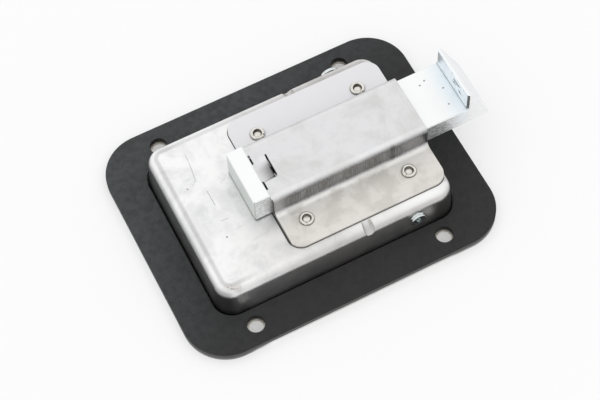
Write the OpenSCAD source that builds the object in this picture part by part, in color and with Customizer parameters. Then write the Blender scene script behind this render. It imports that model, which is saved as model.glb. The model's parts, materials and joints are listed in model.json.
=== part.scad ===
// Flush paddle handle latch, lying on the front face of its flange with its back up.
// X runs along the slide bolt towards its nose and Y across it.
// Z = 0 is the front face of the flange, and +Z points to the inside of the door.

/* [Pan and flange] */
// Thickness of the stainless sheet that the pan and the bolt cover are pressed from
sheet_t = 1.2; // [0.8:0.1:1.5]
// Outside length of the pan at the flange, along the bolt
pan_l = 92.7; // [88:0.1:110]
// Outside width of the pan at the flange
pan_w = 66.8; // [60:0.1:80]
// Depth of the pan, from the front face of the flange to its back
pan_h = 17.2; // [16:0.1:22]
// Angle at which the pan's walls lean in towards its back
pan_draft = 4; // [0:0.5:5]
// Radius of the pan's upright corners at the flange
pan_corner_r = 7; // [7:0.1:10]
// Outside radius round the edge of the pan's back
pan_back_r = 4.2; // [3:0.1:4.8]
// Inside radius of the bend between the pan's wall and the flange
pan_foot_r = 0.8; // [0.4:0.1:0.8]
// Width of the flange beyond the pan's end walls
rim_end = 13.975; // [12:0.025:20]
// Width of the flange beyond the pan's side walls
rim_side = 14.225; // [12.5:0.025:20]
// Corner radius of the flange and the gasket
rim_corner_r = 16; // [8:0.5:18]
// Distance of the mounting holes from the flange's ends
hole_inset_x = 23.325; // [16:0.025:30]
// Distance of the mounting holes from the flange's sides
hole_inset_y = 7.625; // [6.5:0.025:8.5]
// Diameter of the mounting holes in the flange
hole_d = 5.2; // [4:0.1:6]

/* [Gasket] */
// Thickness of the rubber gasket
gasket_t = 2; // [1:0.1:3]
// Diameter of the mounting holes in the gasket
gasket_hole_d = 6.4; // [6:0.1:7]
// Gap between the gasket's window and the pan's wall
gasket_gap = 0.8; // [0.8:0.1:1.4]

/* [Stop dents] */
// Place of the dents along the bolt, measured from the pivot pin
dent_offset = 18.2; // [14:0.1:22]
// Radius of the dents across the pan's back edges
dent_r = 2.2; // [1.8:0.1:3]
// Depth of the dents
dent_depth = 1.2; // [0.8:0.1:1.5]
// Thickness that the sheet is drawn down to under the dents
dent_wall = 0.7; // [0.5:0.05:0.9]

/* [Bolt cover] */
// Length of the bolt cover
cover_l = 60.2; // [56:0.1:66]
// Distance of the cover's nose end from the foot of the pan's end wall
cover_setback = 1.65; // [1:0.05:6]
// Flat left on the pan's back beside the cover
cover_margin = 0.2; // [0.1:0.1:3]
// Corner radius of the cover's feet
cover_corner_r = 5; // [2:0.5:8]
// Outside radius of the bends along the cover's top
cover_top_r = 1.6; // [1.4:0.1:3]
// Inside radius of the bends along the cover's feet
cover_foot_r = 1; // [0.4:0.1:2]
// Length of the pressed louver, from the cover's tail end to its slit
louver_l = 5.1; // [4:0.1:7]
// Width of the louver
louver_w = 9.2; // [7:0.1:11]
// Depth of the louver at its slit
louver_depth = 2.2; // [1.8:0.1:3.4]
// Depth of the louver at the cover's end
louver_end_depth = 0.4; // [0.2:0.1:1]
// Width that each sloping side of the louver takes up at its slit
louver_side = 2.4; // [1:0.1:3]
// Width of the louver's slit
slit_w = 0.8; // [0.5:0.1:1.4]
// Width of the relief notch on each side of the louver
relief_w = 3.2; // [1:0.1:4]
// Depth of the relief notches
relief_l = 0.7; // [0.4:0.1:1.5]

/* [Cover rivets] */
// Distance of the tail rivets from the cover's tail end
rivet_inset_tail = 9.25; // [7:0.05:14]
// Distance of the nose rivets from the cover's nose end
rivet_inset_nose = 10.95; // [7:0.05:14]
// Distance of the rivets from the cover's long edges
rivet_inset_y = 9; // [6:0.1:10]
// Diameter of the rivets' shanks
rivet_d = 3.6; // [3:0.1:4]
// Diameter of the ring that each rivet is rolled out to
rivet_ring_d = 5.2; // [5:0.1:7]
// Diameter of the hollow in each rivet
rivet_bore_d = 2.8; // [2:0.1:2.8]
// Height of the rolled rings
rivet_ring_h = 1; // [0.6:0.1:1.5]
// Diameter of the rivets' heads, inside the pan
rivet_head_d = 6; // [5:0.1:7]
// Thickness of the rivets' heads
rivet_head_t = 1.2; // [0.8:0.1:1.6]

/* [Slide bolt] */
// Width of the slide bolt
bolt_w = 22.2; // [20:0.1:25]
// Thickness of the slide bolt's bar
bolt_t = 9; // [8:0.1:11]
// Clearance under and over the bolt
slide_clear = 0.3; // [0.2:0.05:0.6]
// Clearance on each side of the bolt
side_clear = 0.2; // [0.2:0.05:0.6]
// Length of the stop block at the bolt's tail
tail_l = 6.2; // [4:0.1:9]
// Rise of the stop block above the bar
tail_rise = 3.3; // [2:0.1:5]
// Gap between the stop block and the cover
stop_gap = 0.2; // [0.1:0.05:0.5]
// Reach of the nose beyond the cover
nose_reach = 25.9; // [22:0.1:32]
// Length of the bolt's nose
nose_l = 9.4; // [7:0.1:11]
// Rise of the nose's crest above the bar
nose_rise = 8.5; // [6:0.1:10]
// Width of the nose's crest
crest_w = 1.4; // [0.6:0.1:3]
// Height of the nose's blunt tip
tip_h = 1.4; // [0.6:0.1:3]
// Bevel on the upright edges of the nose's wall
nose_bevel = 0.7; // [0.2:0.1:1.2]
// Bevel along the bolt's other edges
bolt_bevel = 0.35; // [0.1:0.05:0.8]
// Thickness of the bar left above the lever's notch
notch_roof_t = 2.2; // [1.2:0.1:2.6]

/* [Bolt springs] */
// Width of the pocket for the bolt springs
pocket_w = 14; // [13.4:0.1:16]
// Length of the springs between the louver and the end of their pocket
spring_l = 30.5; // [26:0.1:33]
// Outside diameter of the bolt springs
spring_d = 6.2; // [5:0.1:6.4]
// Diameter of the bolt springs' wire
spring_wire_d = 0.8; // [0.5:0.1:1]
// Number of turns in each bolt spring
spring_turns = 11; // [8:1:13]
// Gap round the springs in their pocket
spring_gap = 0.3; // [0.2:0.05:0.4]

/* [Paddle] */
// Thickness of the paddle's sheet
paddle_t = 1.5; // [1:0.1:2]
// Depth of the paddle's face behind the flange's front face
paddle_recess = 1; // [0.5:0.1:2]
// Gap between the paddle and the foot of the pan's side walls
paddle_gap = 2; // [1.6:0.1:3]
// Distance from the pivot pin to the paddle's free end
paddle_reach = 51.7; // [44:0.1:56]
// Distance that the paddle's toe runs past the pivot pin
paddle_toe = 8.3; // [7.6:0.1:8.6]
// Inside radius of the paddle's bends
paddle_bend_r = 1; // [0.5:0.1:2]
// Height of the paddle's side flanges at the free end
paddle_end_h = 5; // [4:0.1:8]
// Length of the finger lip turned up at the free end
lip_l = 5; // [3.5:0.1:8]
// Gap between the finger lip and the side flanges
lip_gap = 0.8; // [0.4:0.1:2]
// Radius of the paddle's pivot ears
ear_r = 3.9; // [3.4:0.1:4.3]
// Clearance between the paddle's side flanges and the stop dents
stop_clear = 0.3; // [0.2:0.05:0.6]
// Angle that the paddle opens through
paddle_swing = 46; // [36:1:50]

/* [Pull lever] */
// Thickness of the pull lever
lever_t = 6; // [4:0.1:8]
// Radius of the lever's rounded tip
lever_tip_r = 1.8; // [1.4:0.1:2.2]
// Radius of the lever's hub
lever_hub_r = 4.2; // [3.6:0.1:4.6]
// Length of the lever's foot on the paddle
lever_foot_l = 14; // [10:0.1:15]
// Thickness of the lever's foot
lever_foot_t = 2.5; // [1.5:0.1:3.5]
// Clearance round the lever in its slot and notch
lever_clear = 0.5; // [0.3:0.05:0.8]
// Play between the lever's tip and the bolt
lever_play = 0.15; // [0.1:0.05:0.3]

/* [Pivot pin] */
// Distance of the pin from the foot of the pan's end wall
pin_inset = 16.65; // [15.5:0.05:20]
// Depth of the pin below the pan's back
pin_depth = 6.5; // [6.2:0.1:8]
// Diameter of the pin
pin_d = 4.4; // [4:0.1:5]
// Clearance between the pin and what turns on it
pin_clear = 0.05; // [0.02:0.01:0.1]
// Diameter of the pin's flared end
flare_d = 5.8; // [5.4:0.1:7]
// Length of the flared end outside the pan
flare_l = 1.5; // [1:0.1:2.5]
// Diameter of the hollow in the flared end
flare_bore_d = 3; // [2:0.1:3.4]
// Diameter of the pin's head
pin_head_d = 7; // [6:0.1:9]
// Thickness of the pin's head
pin_head_t = 1.2; // [0.8:0.1:2]

/* [Paddle spring] */
// Diameter of the paddle spring's wire
torsion_wire_d = 0.9; // [0.6:0.1:1.1]
// Gap between the paddle spring's coil and the pin
torsion_gap = 0.45; // [0.2:0.05:0.7]
// Number of turns in the paddle spring
torsion_turns = 4; // [2:1:7]
// Gap between the paddle spring and the lever
torsion_space = 0.5; // [0.2:0.1:3]

/* [Hidden] */
$fn = 64;

// Overlap of solids that are joined, overshoot of cuts, and depth to which a leaning wall cuts into its bends
lap = 0.5;
cut = 1;
bite = 0.01;
// Sides of a spring's wire and steps in each of its turns
wire_sides = 8;
turn_steps = 12;
// Pitch of turns that lie side by side, in wire diameters
close_pitch = 1.15;

stainless = [0.80, 0.80, 0.79];
zinc = [0.88, 0.91, 0.94];
rubber = [0.15, 0.15, 0.16];
spring_steel = [0.62, 0.63, 0.65];

// Flange, holes and the levels of the pan
flange_l = pan_l + 2 * rim_end;
flange_w = pan_w + 2 * rim_side;
hole_x = flange_l / 2 - hole_inset_x;
hole_y = flange_w / 2 - hole_inset_y;
back_in_z = pan_h - sheet_t;
back_bend_z = pan_h - pan_back_r;

// Centres of the bends above and below the leaning wall, in from and out from the wall's foot
back_bend_in = (pan_back_r + (back_bend_z - sheet_t) * sin(pan_draft)) / cos(pan_draft);
foot_bend_out = pan_foot_r * (1 - sin(pan_draft)) / cos(pan_draft);
back_bend_y = pan_w / 2 - back_bend_in;
wall_in_y = pan_w / 2 - sheet_t;

// Pivot pin and swing of the lever
pin_x = pan_l / 2 - pin_inset;
pin_z = pan_h - pin_depth;
pin_seat_y = pan_w / 2 - (pin_z - pin_head_d / 2 - sheet_t) * tan(pan_draft);
half_swing = paddle_swing / 2;

// Slide bolt, between the pan's back and the cover
bolt_z0 = pan_h + slide_clear;
bolt_z1 = bolt_z0 + bolt_t;
cover_x1 = pan_l / 2 - cover_setback;
cover_x0 = cover_x1 - cover_l;
tail_x1 = cover_x0 - stop_gap;
tail_x0 = tail_x1 - tail_l;
tip_x = cover_x1 + nose_reach;
nose_x = tip_x - nose_l;

// Bolt cover
cover_w = 2 * (back_bend_y - cover_margin);
foot_z = pan_h + sheet_t;
hat_z = bolt_z1 + slide_clear + sheet_t;
hat_y = bolt_w / 2 + side_clear + sheet_t;
slit_x = cover_x0 + louver_l;
rivet_x = [cover_x0 + rivet_inset_tail, cover_x1 - rivet_inset_nose];
rivet_y = cover_w / 2 - rivet_inset_y;

// Pull lever: its tip ends just under the roof of the bolt's notch at mid swing
notch_z = bolt_z1 - notch_roof_t;
lever_arm = notch_z - slide_clear - lever_tip_r - pin_z;
lever_x = pin_x + lever_arm * sin(half_swing);
lever_z = pin_z + lever_arm * cos(half_swing);
bolt_travel = 2 * lever_arm * sin(half_swing);
lever_flank = lever_tip_r / cos(half_swing);
slot_half_l = (pan_h - pin_z) * tan(half_swing) + lever_flank + lever_clear;
slot_w = lever_t + 2 * lever_clear;

// Springs of the bolt, side by side in its pocket
spring_r = (spring_d - spring_wire_d) / 2;
spring_y = spring_d / 2 + spring_gap / 2;
spring_z = bolt_z1 - spring_d / 2;
pocket_z = spring_z - spring_d / 2 - spring_gap;
spring_x0 = slit_x + lever_play;
pocket_x1 = spring_x0 + spring_l + lever_play;

// Paddle
paddle_y = wall_in_y - paddle_gap;
paddle_x0 = pin_x - paddle_reach;
paddle_x1 = pin_x + paddle_toe;
paddle_in_z = paddle_recess + paddle_t;
paddle_out_r = paddle_bend_r + paddle_t;
dent_x = pin_x - dent_offset;
bump_reach = pan_back_r - dent_depth - dent_wall;
stop_z = back_bend_z + sqrt(2) * bump_reach - (paddle_y - back_bend_y) - stop_clear;

// Paddle spring, coiled round the pin beside the lever
torsion_r = pin_d / 2 + torsion_gap + torsion_wire_d / 2;
torsion_y = lever_t / 2 + torsion_space + torsion_wire_d / 2;
torsion_pitch = close_pitch * torsion_wire_d;
leg_start = 30;
leg_end = -40;
leg_lift = 0.1;

function unit(v) = v / norm(v);

// How far a leaning wall runs on into a bend of the sheet, and the angle at which that bend starts
function run_on(outer_r) = sqrt(bite * (2 * outer_r - sheet_t - bite));
function bend_start(outer_r) = pan_draft - (acos(1 - bite / outer_r) + acos(1 - bite / (outer_r - sheet_t))) / 2;

// A plane outline with round corners
module rounded_outline(l, w, r) {
    square([l - 2 * r, w], center = true);
    square([l, w - 2 * r], center = true);
    for (sx = [-1, 1], sy = [-1, 1])
        translate([sx * (l / 2 - r), sy * (w / 2 - r)])
            circle(r);
}

// The section of a bent sheet: a ring in the first quadrant, from a start angle to the upright
module bend(outer_r, t, start = 0) {
    reach = 2 * outer_r;
    intersection() {
        difference() {
            circle(outer_r);
            circle(outer_r - t);
        }
        polygon([[0, 0], reach * [cos(start), sin(start)], [reach, reach], [0, reach]]);
    }
}

// Carries a section round a rounded rectangle: its X points outwards and its Y points up
module around(l, w, r) {
    for (turn = [0, 180])
        rotate(turn) {
            translate([r - l / 2, w / 2, 0])
                rotate([90, 0, 90])
                    linear_extrude(l - 2 * r)
                        children();
            translate([l / 2, w / 2 - r, 0])
                rotate([90, 0, 0])
                    linear_extrude(w - 2 * r)
                        children();
            translate([l / 2 - r, w / 2 - r, 0])
                rotate_extrude(angle = 90)
                    translate([r, 0])
                        children();
            translate([r - l / 2, w / 2 - r, 0])
                rotate(90)
                    rotate_extrude(angle = 90)
                        translate([r, 0])
                            children();
        }
}

// Lays a drawing made in X and Z flat across the latch, centred on Y = 0
module across(width) {
    translate([0, width / 2, 0])
        rotate([90, 0, 0])
            linear_extrude(width)
                children();
}

// Lays a drawing made in Y and Z along the latch
module along(x0, x1) {
    translate([x0, 0, 0])
        rotate([90, 0, 90])
            linear_extrude(x1 - x0)
                children();
}

module at_mounting_holes() {
    for (sx = [-1, 1], sy = [-1, 1])
        translate([sx * hole_x, sy * hole_y, 0])
            children();
}

module at_rivets() {
    for (x = rivet_x, sy = [-1, 1])
        translate([x, sy * rivet_y, 0])
            children();
}

// Wire of radius r along a path whose turns lie about one axis
module wire(path, axis, r) {
    last = len(path) - 1;
    tangents = [for (i = [0:last]) unit(path[min(i + 1, last)] - path[max(i - 1, 0)])];
    rings = [
        for (i = [0:last], k = [0:wire_sides - 1])
            let (side = unit(cross(tangents[i], axis)), up = unit(cross(side, tangents[i])), a = 360 * k / wire_sides)
                path[i] + r * (cos(a) * side + sin(a) * up)
    ];
    skin = [
        for (i = [0:last - 1], k = [0:wire_sides - 1])
            let (a = i * wire_sides + k, b = i * wire_sides + (k + 1) % wire_sides)
                each [[a, b, b + wire_sides], [a, b + wire_sides, a + wire_sides]]
    ];
    first_cap = [for (k = [wire_sides - 1:-1:0]) k];
    last_cap = [for (k = [0:wire_sides - 1]) last * wire_sides + k];
    polyhedron(rings, concat(skin, [first_cap, last_cap]));
}

// Section of the pan's leaning wall, from the flange up to the back, out from the wall's foot
module pan_wall_section() {
    foot_r = pan_foot_r + sheet_t;
    out = [cos(pan_draft), sin(pan_draft)];
    up = [-sin(pan_draft), cos(pan_draft)];
    foot = [foot_bend_out, foot_r];
    back = [-back_bend_in, back_bend_z];
    low = foot + bite * out - run_on(foot_r) * up;
    high = back - bite * out + run_on(pan_back_r) * up;
    translate(back)
        bend(pan_back_r, sheet_t, bend_start(pan_back_r));
    translate([-back_bend_in - lap, back_in_z])
        square([lap, sheet_t]);
    polygon([
        low - pan_foot_r * out, high + pan_back_r * out, high + (pan_back_r - sheet_t) * out, low - foot_r * out
    ]);
    translate(foot)
        rotate(180)
            bend(foot_r, sheet_t, bend_start(foot_r));
    translate([foot_bend_out, 0])
        square([lap, sheet_t]);
}

// Solid section of the pan's long back edge up to the middle of its sheet, which the stop dents bulge into
module back_edge_section() {
    depth = pan_back_r + dent_r;
    middle_r = pan_back_r - sheet_t / 2;
    translate([back_bend_y, back_bend_z]) {
        circle(middle_r);
        translate([-depth, -depth])
            square([depth, depth + middle_r]);
        translate([-depth, -depth])
            square([depth + middle_r, depth]);
    }
}

// A round bar laid across the far back edge at the bottom of a dent
module dent_bar(r) {
    bar_l = 4 * pan_back_r;
    off = (pan_back_r - dent_depth + dent_r) / sqrt(2);
    translate([dent_x, back_bend_y + off, back_bend_z + off])
        rotate([45, 0, 0])
            cylinder(r = r, h = bar_l, center = true);
}

module each_side() {
    children();
    mirror([0, 1, 0])
        children();
}

module pan() {
    back_in = back_bend_in + lap / 2;
    rim_out = foot_bend_out + lap / 2;
    color(stainless)
        difference() {
            union() {
                around(pan_l, pan_w, pan_corner_r)
                    pan_wall_section();
                translate([0, 0, back_in_z])
                    linear_extrude(sheet_t)
                        rounded_outline(pan_l - 2 * back_in, pan_w - 2 * back_in, pan_corner_r - back_in);
                linear_extrude(sheet_t)
                    difference() {
                        rounded_outline(flange_l, flange_w, rim_corner_r);
                        rounded_outline(pan_l + 2 * rim_out, pan_w + 2 * rim_out, pan_corner_r + rim_out);
                    }
                each_side()
                    intersection() {
                        dent_bar(dent_r + dent_wall);
                        along(dent_x - 2 * dent_r, dent_x + 2 * dent_r)
                            back_edge_section();
                    }
            }
            each_side()
                dent_bar(dent_r);
            at_mounting_holes()
                translate([0, 0, -cut])
                    cylinder(d = hole_d, h = sheet_t + 2 * cut);
            at_rivets()
                translate([0, 0, back_in_z - cut])
                    cylinder(d = rivet_d, h = sheet_t + 2 * cut);
            translate([pin_x, 0, pin_z])
                rotate([90, 0, 0])
                    cylinder(d = pin_d + 2 * pin_clear, h = pan_w + 2 * cut, center = true);
            translate([pin_x, 0, pan_h - sheet_t / 2])
                cube([2 * slot_half_l, slot_w, sheet_t + 2 * cut], center = true);
        }
}

module gasket() {
    color(rubber)
        translate([0, 0, sheet_t])
            difference() {
                linear_extrude(gasket_t)
                    difference() {
                        rounded_outline(flange_l, flange_w, rim_corner_r);
                        rounded_outline(
                            pan_l + 2 * gasket_gap, pan_w + 2 * gasket_gap, pan_corner_r + gasket_gap
                        );
                    }
                at_mounting_holes()
                    translate([0, 0, -cut])
                        cylinder(d = gasket_hole_d, h = gasket_t + 2 * cut);
            }
}

// Section of the cover's far half: foot, wall and half of the top, before its outline is trimmed
module cover_half_section() {
    foot_y = hat_y + cover_foot_r;
    wall_z0 = foot_z + cover_foot_r;
    wall_z1 = hat_z - cover_top_r;
    translate([foot_y, pan_h])
        square([cover_w / 2 - foot_y + lap, sheet_t]);
    translate([foot_y, wall_z0])
        rotate(180)
            bend(cover_foot_r + sheet_t, sheet_t);
    translate([hat_y - sheet_t, wall_z0])
        square([sheet_t, wall_z1 - wall_z0]);
    translate([hat_y - cover_top_r, wall_z1])
        bend(cover_top_r, sheet_t);
    translate([-lap, hat_z - sheet_t])
        square([hat_y - cover_top_r + lap, sheet_t]);
}

// The sunk form of the louver: a ramp between sides that slope alike, under a surface at height z
module louver_form(z, tail_depth, slit_depth) {
    half_top = louver_w / 2;
    edge = function (x, depth)
        let (half_low = half_top - louver_side * depth / slit_depth)
            [[x, -half_top, z], [x, half_top, z], [x, half_low, z - depth], [x, -half_low, z - depth]];
    polyhedron(
        concat(edge(cover_x0 - lap, tail_depth), edge(slit_x, slit_depth)),
        [[0, 1, 2, 3], [7, 6, 5, 4], [4, 5, 1, 0], [5, 6, 2, 1], [6, 7, 3, 2], [7, 4, 0, 3]]
    );
}

module bolt_cover() {
    color(stainless)
        difference() {
            intersection() {
                union() {
                    along(cover_x0 - lap, cover_x1 + lap) {
                        cover_half_section();
                        mirror([1, 0])
                            cover_half_section();
                    }
                    louver_form(hat_z - sheet_t / 2, louver_end_depth + sheet_t / 2, louver_depth + sheet_t / 2);
                }
                translate([(cover_x0 + cover_x1) / 2, 0, pan_h - cut])
                    linear_extrude(hat_z - pan_h + 2 * cut)
                        rounded_outline(cover_l, cover_w, cover_corner_r);
            }
            louver_form(hat_z, louver_end_depth, louver_depth);
            translate([slit_x, -louver_w / 2, hat_z - sheet_t - lap])
                cube([slit_w, louver_w, sheet_t + lap + cut]);
            for (sy = [-1, 1])
                translate([cover_x0, sy * (louver_w + relief_w) / 2, hat_z])
                    cube([2 * relief_l, relief_w, 3 * sheet_t], center = true);
            at_rivets()
                translate([0, 0, pan_h - cut])
                    cylinder(d = rivet_d, h = sheet_t + 2 * cut);
        }
}

// A semi-tubular rivet: its head inside the pan, its hollow end rolled out over the cover
module cover_rivet() {
    ring_r = (rivet_ring_d - rivet_bore_d) / 4;
    ring_x = rivet_bore_d / 2 + ring_r;
    rotate_extrude()
        difference() {
            union() {
                translate([0, back_in_z - rivet_head_t])
                    square([rivet_head_d / 2, rivet_head_t]);
                translate([0, back_in_z - lap])
                    square([rivet_d / 2, foot_z + rivet_ring_h - ring_r - back_in_z + lap]);
                translate([rivet_bore_d / 2, foot_z])
                    square([2 * ring_r, rivet_ring_h - ring_r]);
                translate([ring_x, foot_z + rivet_ring_h - ring_r])
                    circle(ring_r);
            }
            translate([0, pan_h])
                square([rivet_bore_d / 2, sheet_t + rivet_ring_h + cut]);
            translate([rivet_d / 2, back_in_z])
                square([rivet_ring_d, foot_z - back_in_z]);
        }
}

module cover_rivets() {
    color(stainless)
        at_rivets()
            cover_rivet();
}

// Side outline of the bolt: the bar, its stop block at the tail and its bevelled nose
module bolt_side() {
    polygon([
        [tail_x0, bolt_z0], [tip_x, bolt_z0], [tip_x, bolt_z0 + tip_h],
        [nose_x + crest_w, bolt_z1 + nose_rise], [nose_x, bolt_z1 + nose_rise], [nose_x, bolt_z1],
        [tail_x1, bolt_z1], [tail_x1, bolt_z1 + tail_rise - bolt_bevel],
        [tail_x1 - bolt_bevel, bolt_z1 + tail_rise], [tail_x0 + bolt_bevel, bolt_z1 + tail_rise],
        [tail_x0, bolt_z1 + tail_rise - bolt_bevel]
    ]);
}

// A rectangle with its four corners bevelled
module bevelled(y, z0, z1) {
    polygon([
        [-y, z0 + bolt_bevel], [-y + bolt_bevel, z0], [y - bolt_bevel, z0], [y, z0 + bolt_bevel],
        [y, z1 - bolt_bevel], [y - bolt_bevel, z1], [-y + bolt_bevel, z1], [-y, z1 - bolt_bevel]
    ]);
}

// Notch under the bolt: the lever pulls on its tail wall and slides free towards its nose end
module bolt_notch() {
    contact_x = lever_x - lever_tip_r - lever_play;
    contact_z = lever_z + lever_tip_r * sin(half_swing);
    mouth_x = pin_x + (bolt_z0 - pin_z) * tan(half_swing) - lever_flank - lever_clear;
    end_x = lever_x + lever_tip_r + bolt_travel + lever_clear;
    polygon([
        [mouth_x, bolt_z0 - cut], [mouth_x, bolt_z0], [contact_x, contact_z], [contact_x, notch_z],
        [end_x, notch_z], [end_x, bolt_z0 - cut]
    ]);
}

module slide_bolt() {
    half_w = bolt_w / 2;
    color(zinc)
        difference() {
            intersection() {
                across(bolt_w)
                    bolt_side();
                union() {
                    along(tail_x0, tail_x1)
                        bevelled(half_w, bolt_z0, bolt_z1 + tail_rise);
                    along(tail_x1 - lap, nose_x + lap)
                        bevelled(half_w, bolt_z0, bolt_z1);
                    along(nose_x, tip_x)
                        bevelled(half_w, bolt_z0, bolt_z1 + nose_rise + bolt_bevel);
                }
                translate([(tail_x0 + tip_x) / 2, 0, bolt_z0 - cut])
                    linear_extrude(bolt_t + nose_rise + tail_rise + 2 * cut)
                        rounded_outline(tip_x - tail_x0, bolt_w, 2 * bolt_bevel);
            }
            for (sy = [-1, 1])
                translate([nose_x, sy * half_w, bolt_z1 + bolt_bevel])
                    rotate(sy * 135)
                        translate([-nose_bevel / sqrt(2), -2 * nose_bevel, 0])
                            cube([nose_bevel + cut, 4 * nose_bevel, nose_rise + cut]);
            across(slot_w)
                bolt_notch();
            translate([tail_x1, -pocket_w / 2, pocket_z])
                cube([pocket_x1 - tail_x1, pocket_w, bolt_z1 - pocket_z + cut]);
        }
}

// Place of the wire along a compression spring after a number of turns, with closed end turns
function spring_place(turn) =
    let (coils_l = spring_l - spring_wire_d, pitch = close_pitch * spring_wire_d, last = spring_turns - 1)
        turn < 1 ? pitch * turn :
        turn > last ? coils_l - pitch * (spring_turns - turn) :
        pitch + (coils_l - 2 * pitch) * (turn - 1) / (last - 1);

module bolt_spring(side) {
    path = [
        for (i = [0:spring_turns * turn_steps])
            let (turn = i / turn_steps)
                [
                    spring_x0 + spring_wire_d / 2 + spring_place(turn),
                    side * spring_y + spring_r * cos(360 * turn),
                    spring_z + spring_r * sin(360 * turn)
                ]
    ];
    color(spring_steel)
        wire(path, [1, 0, 0], spring_wire_d / 2);
}

module bolt_spring_near() {
    bolt_spring(-1);
}

module bolt_spring_far() {
    bolt_spring(1);
}

// Section of the paddle's far half: half of its face, the bend and the side flange
module paddle_half_section() {
    translate([-lap, paddle_recess])
        square([paddle_y - paddle_out_r + lap, paddle_t]);
    translate([paddle_y - paddle_out_r, paddle_recess + paddle_out_r])
        rotate(-90)
            bend(paddle_out_r, paddle_t);
    translate([paddle_y - paddle_t, paddle_recess + paddle_out_r])
        square([paddle_t, pin_z + ear_r - paddle_recess - paddle_out_r]);
}

// Side outline of the paddle: its face, its stops under the dents and its pivot ears
module paddle_side() {
    stop_half_l = 2 * dent_r;
    polygon([
        [paddle_x0 + paddle_out_r, paddle_recess], [paddle_x1, paddle_recess],
        [paddle_x1, paddle_recess + paddle_end_h], [pin_x + ear_r, pin_z], [pin_x, pin_z + ear_r],
        [dent_x + stop_half_l, stop_z], [dent_x - stop_half_l, stop_z],
        [paddle_x0 + paddle_out_r, paddle_recess + paddle_end_h]
    ]);
    translate([pin_x, pin_z])
        circle(ear_r);
}

// Section of the finger lip, turned up at the paddle's free end
module paddle_lip_section() {
    translate([paddle_x0 + paddle_out_r, paddle_recess + paddle_out_r])
        rotate(180)
            bend(paddle_out_r, paddle_t);
    translate([paddle_x0, paddle_recess + paddle_out_r])
        square([paddle_t, lip_l - paddle_out_r]);
    translate([paddle_x0 + paddle_out_r, paddle_recess])
        square([lap, paddle_t]);
}

module paddle() {
    color(stainless)
        difference() {
            union() {
                intersection() {
                    along(paddle_x0, paddle_x1) {
                        paddle_half_section();
                        mirror([1, 0])
                            paddle_half_section();
                    }
                    across(2 * paddle_y + cut)
                        paddle_side();
                }
                across(2 * (paddle_y - paddle_out_r - lip_gap))
                    paddle_lip_section();
            }
            translate([pin_x, 0, pin_z])
                rotate([90, 0, 0])
                    cylinder(d = pin_d + 2 * pin_clear, h = pan_w, center = true);
        }
}

module pull_lever() {
    color(stainless)
        difference() {
            across(lever_t) {
                translate([pin_x, pin_z]) {
                    circle(lever_hub_r);
                    rotate(-half_swing) {
                        translate([-lever_tip_r, 0])
                            square([2 * lever_tip_r, lever_arm]);
                        translate([0, lever_arm])
                            circle(lever_tip_r);
                    }
                }
                translate([pin_x - lever_hub_r, paddle_in_z])
                    square([2 * lever_hub_r, pin_z - paddle_in_z]);
                translate([pin_x - lever_foot_l / 2, paddle_in_z])
                    square([lever_foot_l, lever_foot_t]);
            }
            translate([pin_x, 0, pin_z])
                rotate([90, 0, 0])
                    cylinder(d = pin_d + 2 * pin_clear, h = lever_t + 2 * cut, center = true);
        }
}

// Half section of the pin, along its axis: head at the far side, flared hollow end at the near side
module pin_section() {
    wall = pin_seat_y;
    head = wall + pin_head_t;
    flare = wall + flare_l;
    rim = flare_l / 3;
    chamfer = pin_head_t / 3;
    neck_r = (pin_d + flare_d) / 4;
    polygon([
        [0, -head], [pin_head_d / 2 - chamfer, -head], [pin_head_d / 2, chamfer - head], [pin_head_d / 2, -wall],
        [pin_d / 2, -wall], [pin_d / 2, wall], [flare_d / 2, wall], [flare_d / 2, wall + rim],
        [neck_r, wall + rim], [neck_r, flare - rim], [flare_d / 2, flare - rim], [flare_d / 2, flare],
        [(flare_bore_d + flare_d) / 4, flare], [flare_bore_d / 2, flare - rim], [flare_bore_d / 2, wall - sheet_t],
        [0, wall - sheet_t]
    ]);
}

module pivot_pin() {
    color(zinc)
        translate([pin_x, 0, pin_z])
            rotate([90, 0, 0])
                rotate_extrude()
                    pin_section();
}

module paddle_spring() {
    sweep = 360 * torsion_turns + leg_end - leg_start;
    steps = ceil(sweep * turn_steps / 360);
    point = function (angle, reach, y)
        [
            pin_x + torsion_r * cos(angle) - reach * sin(angle), y,
            pin_z + torsion_r * sin(angle) + reach * cos(angle)
        ];
    pan_reach = (back_in_z - leg_lift - torsion_wire_d / 2 - pin_z - torsion_r * sin(leg_end)) / cos(leg_end);
    paddle_reach_down =
        (pin_z + torsion_r * sin(leg_start) - paddle_in_z - leg_lift - torsion_wire_d / 2) / cos(leg_start);
    coil = [
        for (i = [0:steps])
            point(leg_start + sweep * i / steps, 0, torsion_y + torsion_pitch * sweep / 360 * i / steps)
    ];
    path = concat(
        [point(leg_start, -paddle_reach_down, torsion_y)], coil,
        [point(leg_end, pan_reach, torsion_y + torsion_pitch * sweep / 360)]
    );
    color(spring_steel)
        wire(path, [0, 1, 0], torsion_wire_d / 2);
}

pan();
gasket();
bolt_cover();
cover_rivets();
slide_bolt();
bolt_spring_near();
bolt_spring_far();
paddle();
pull_lever();
pivot_pin();
paddle_spring();
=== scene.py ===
"""Dresses a flush paddle latch: pressed cover, rolled rivets, wound springs, turned pin, metals, rubber and a studio."""

import json
import math

import bmesh
import bpy
import numpy as np
from mathutils import Matrix, Vector


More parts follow.
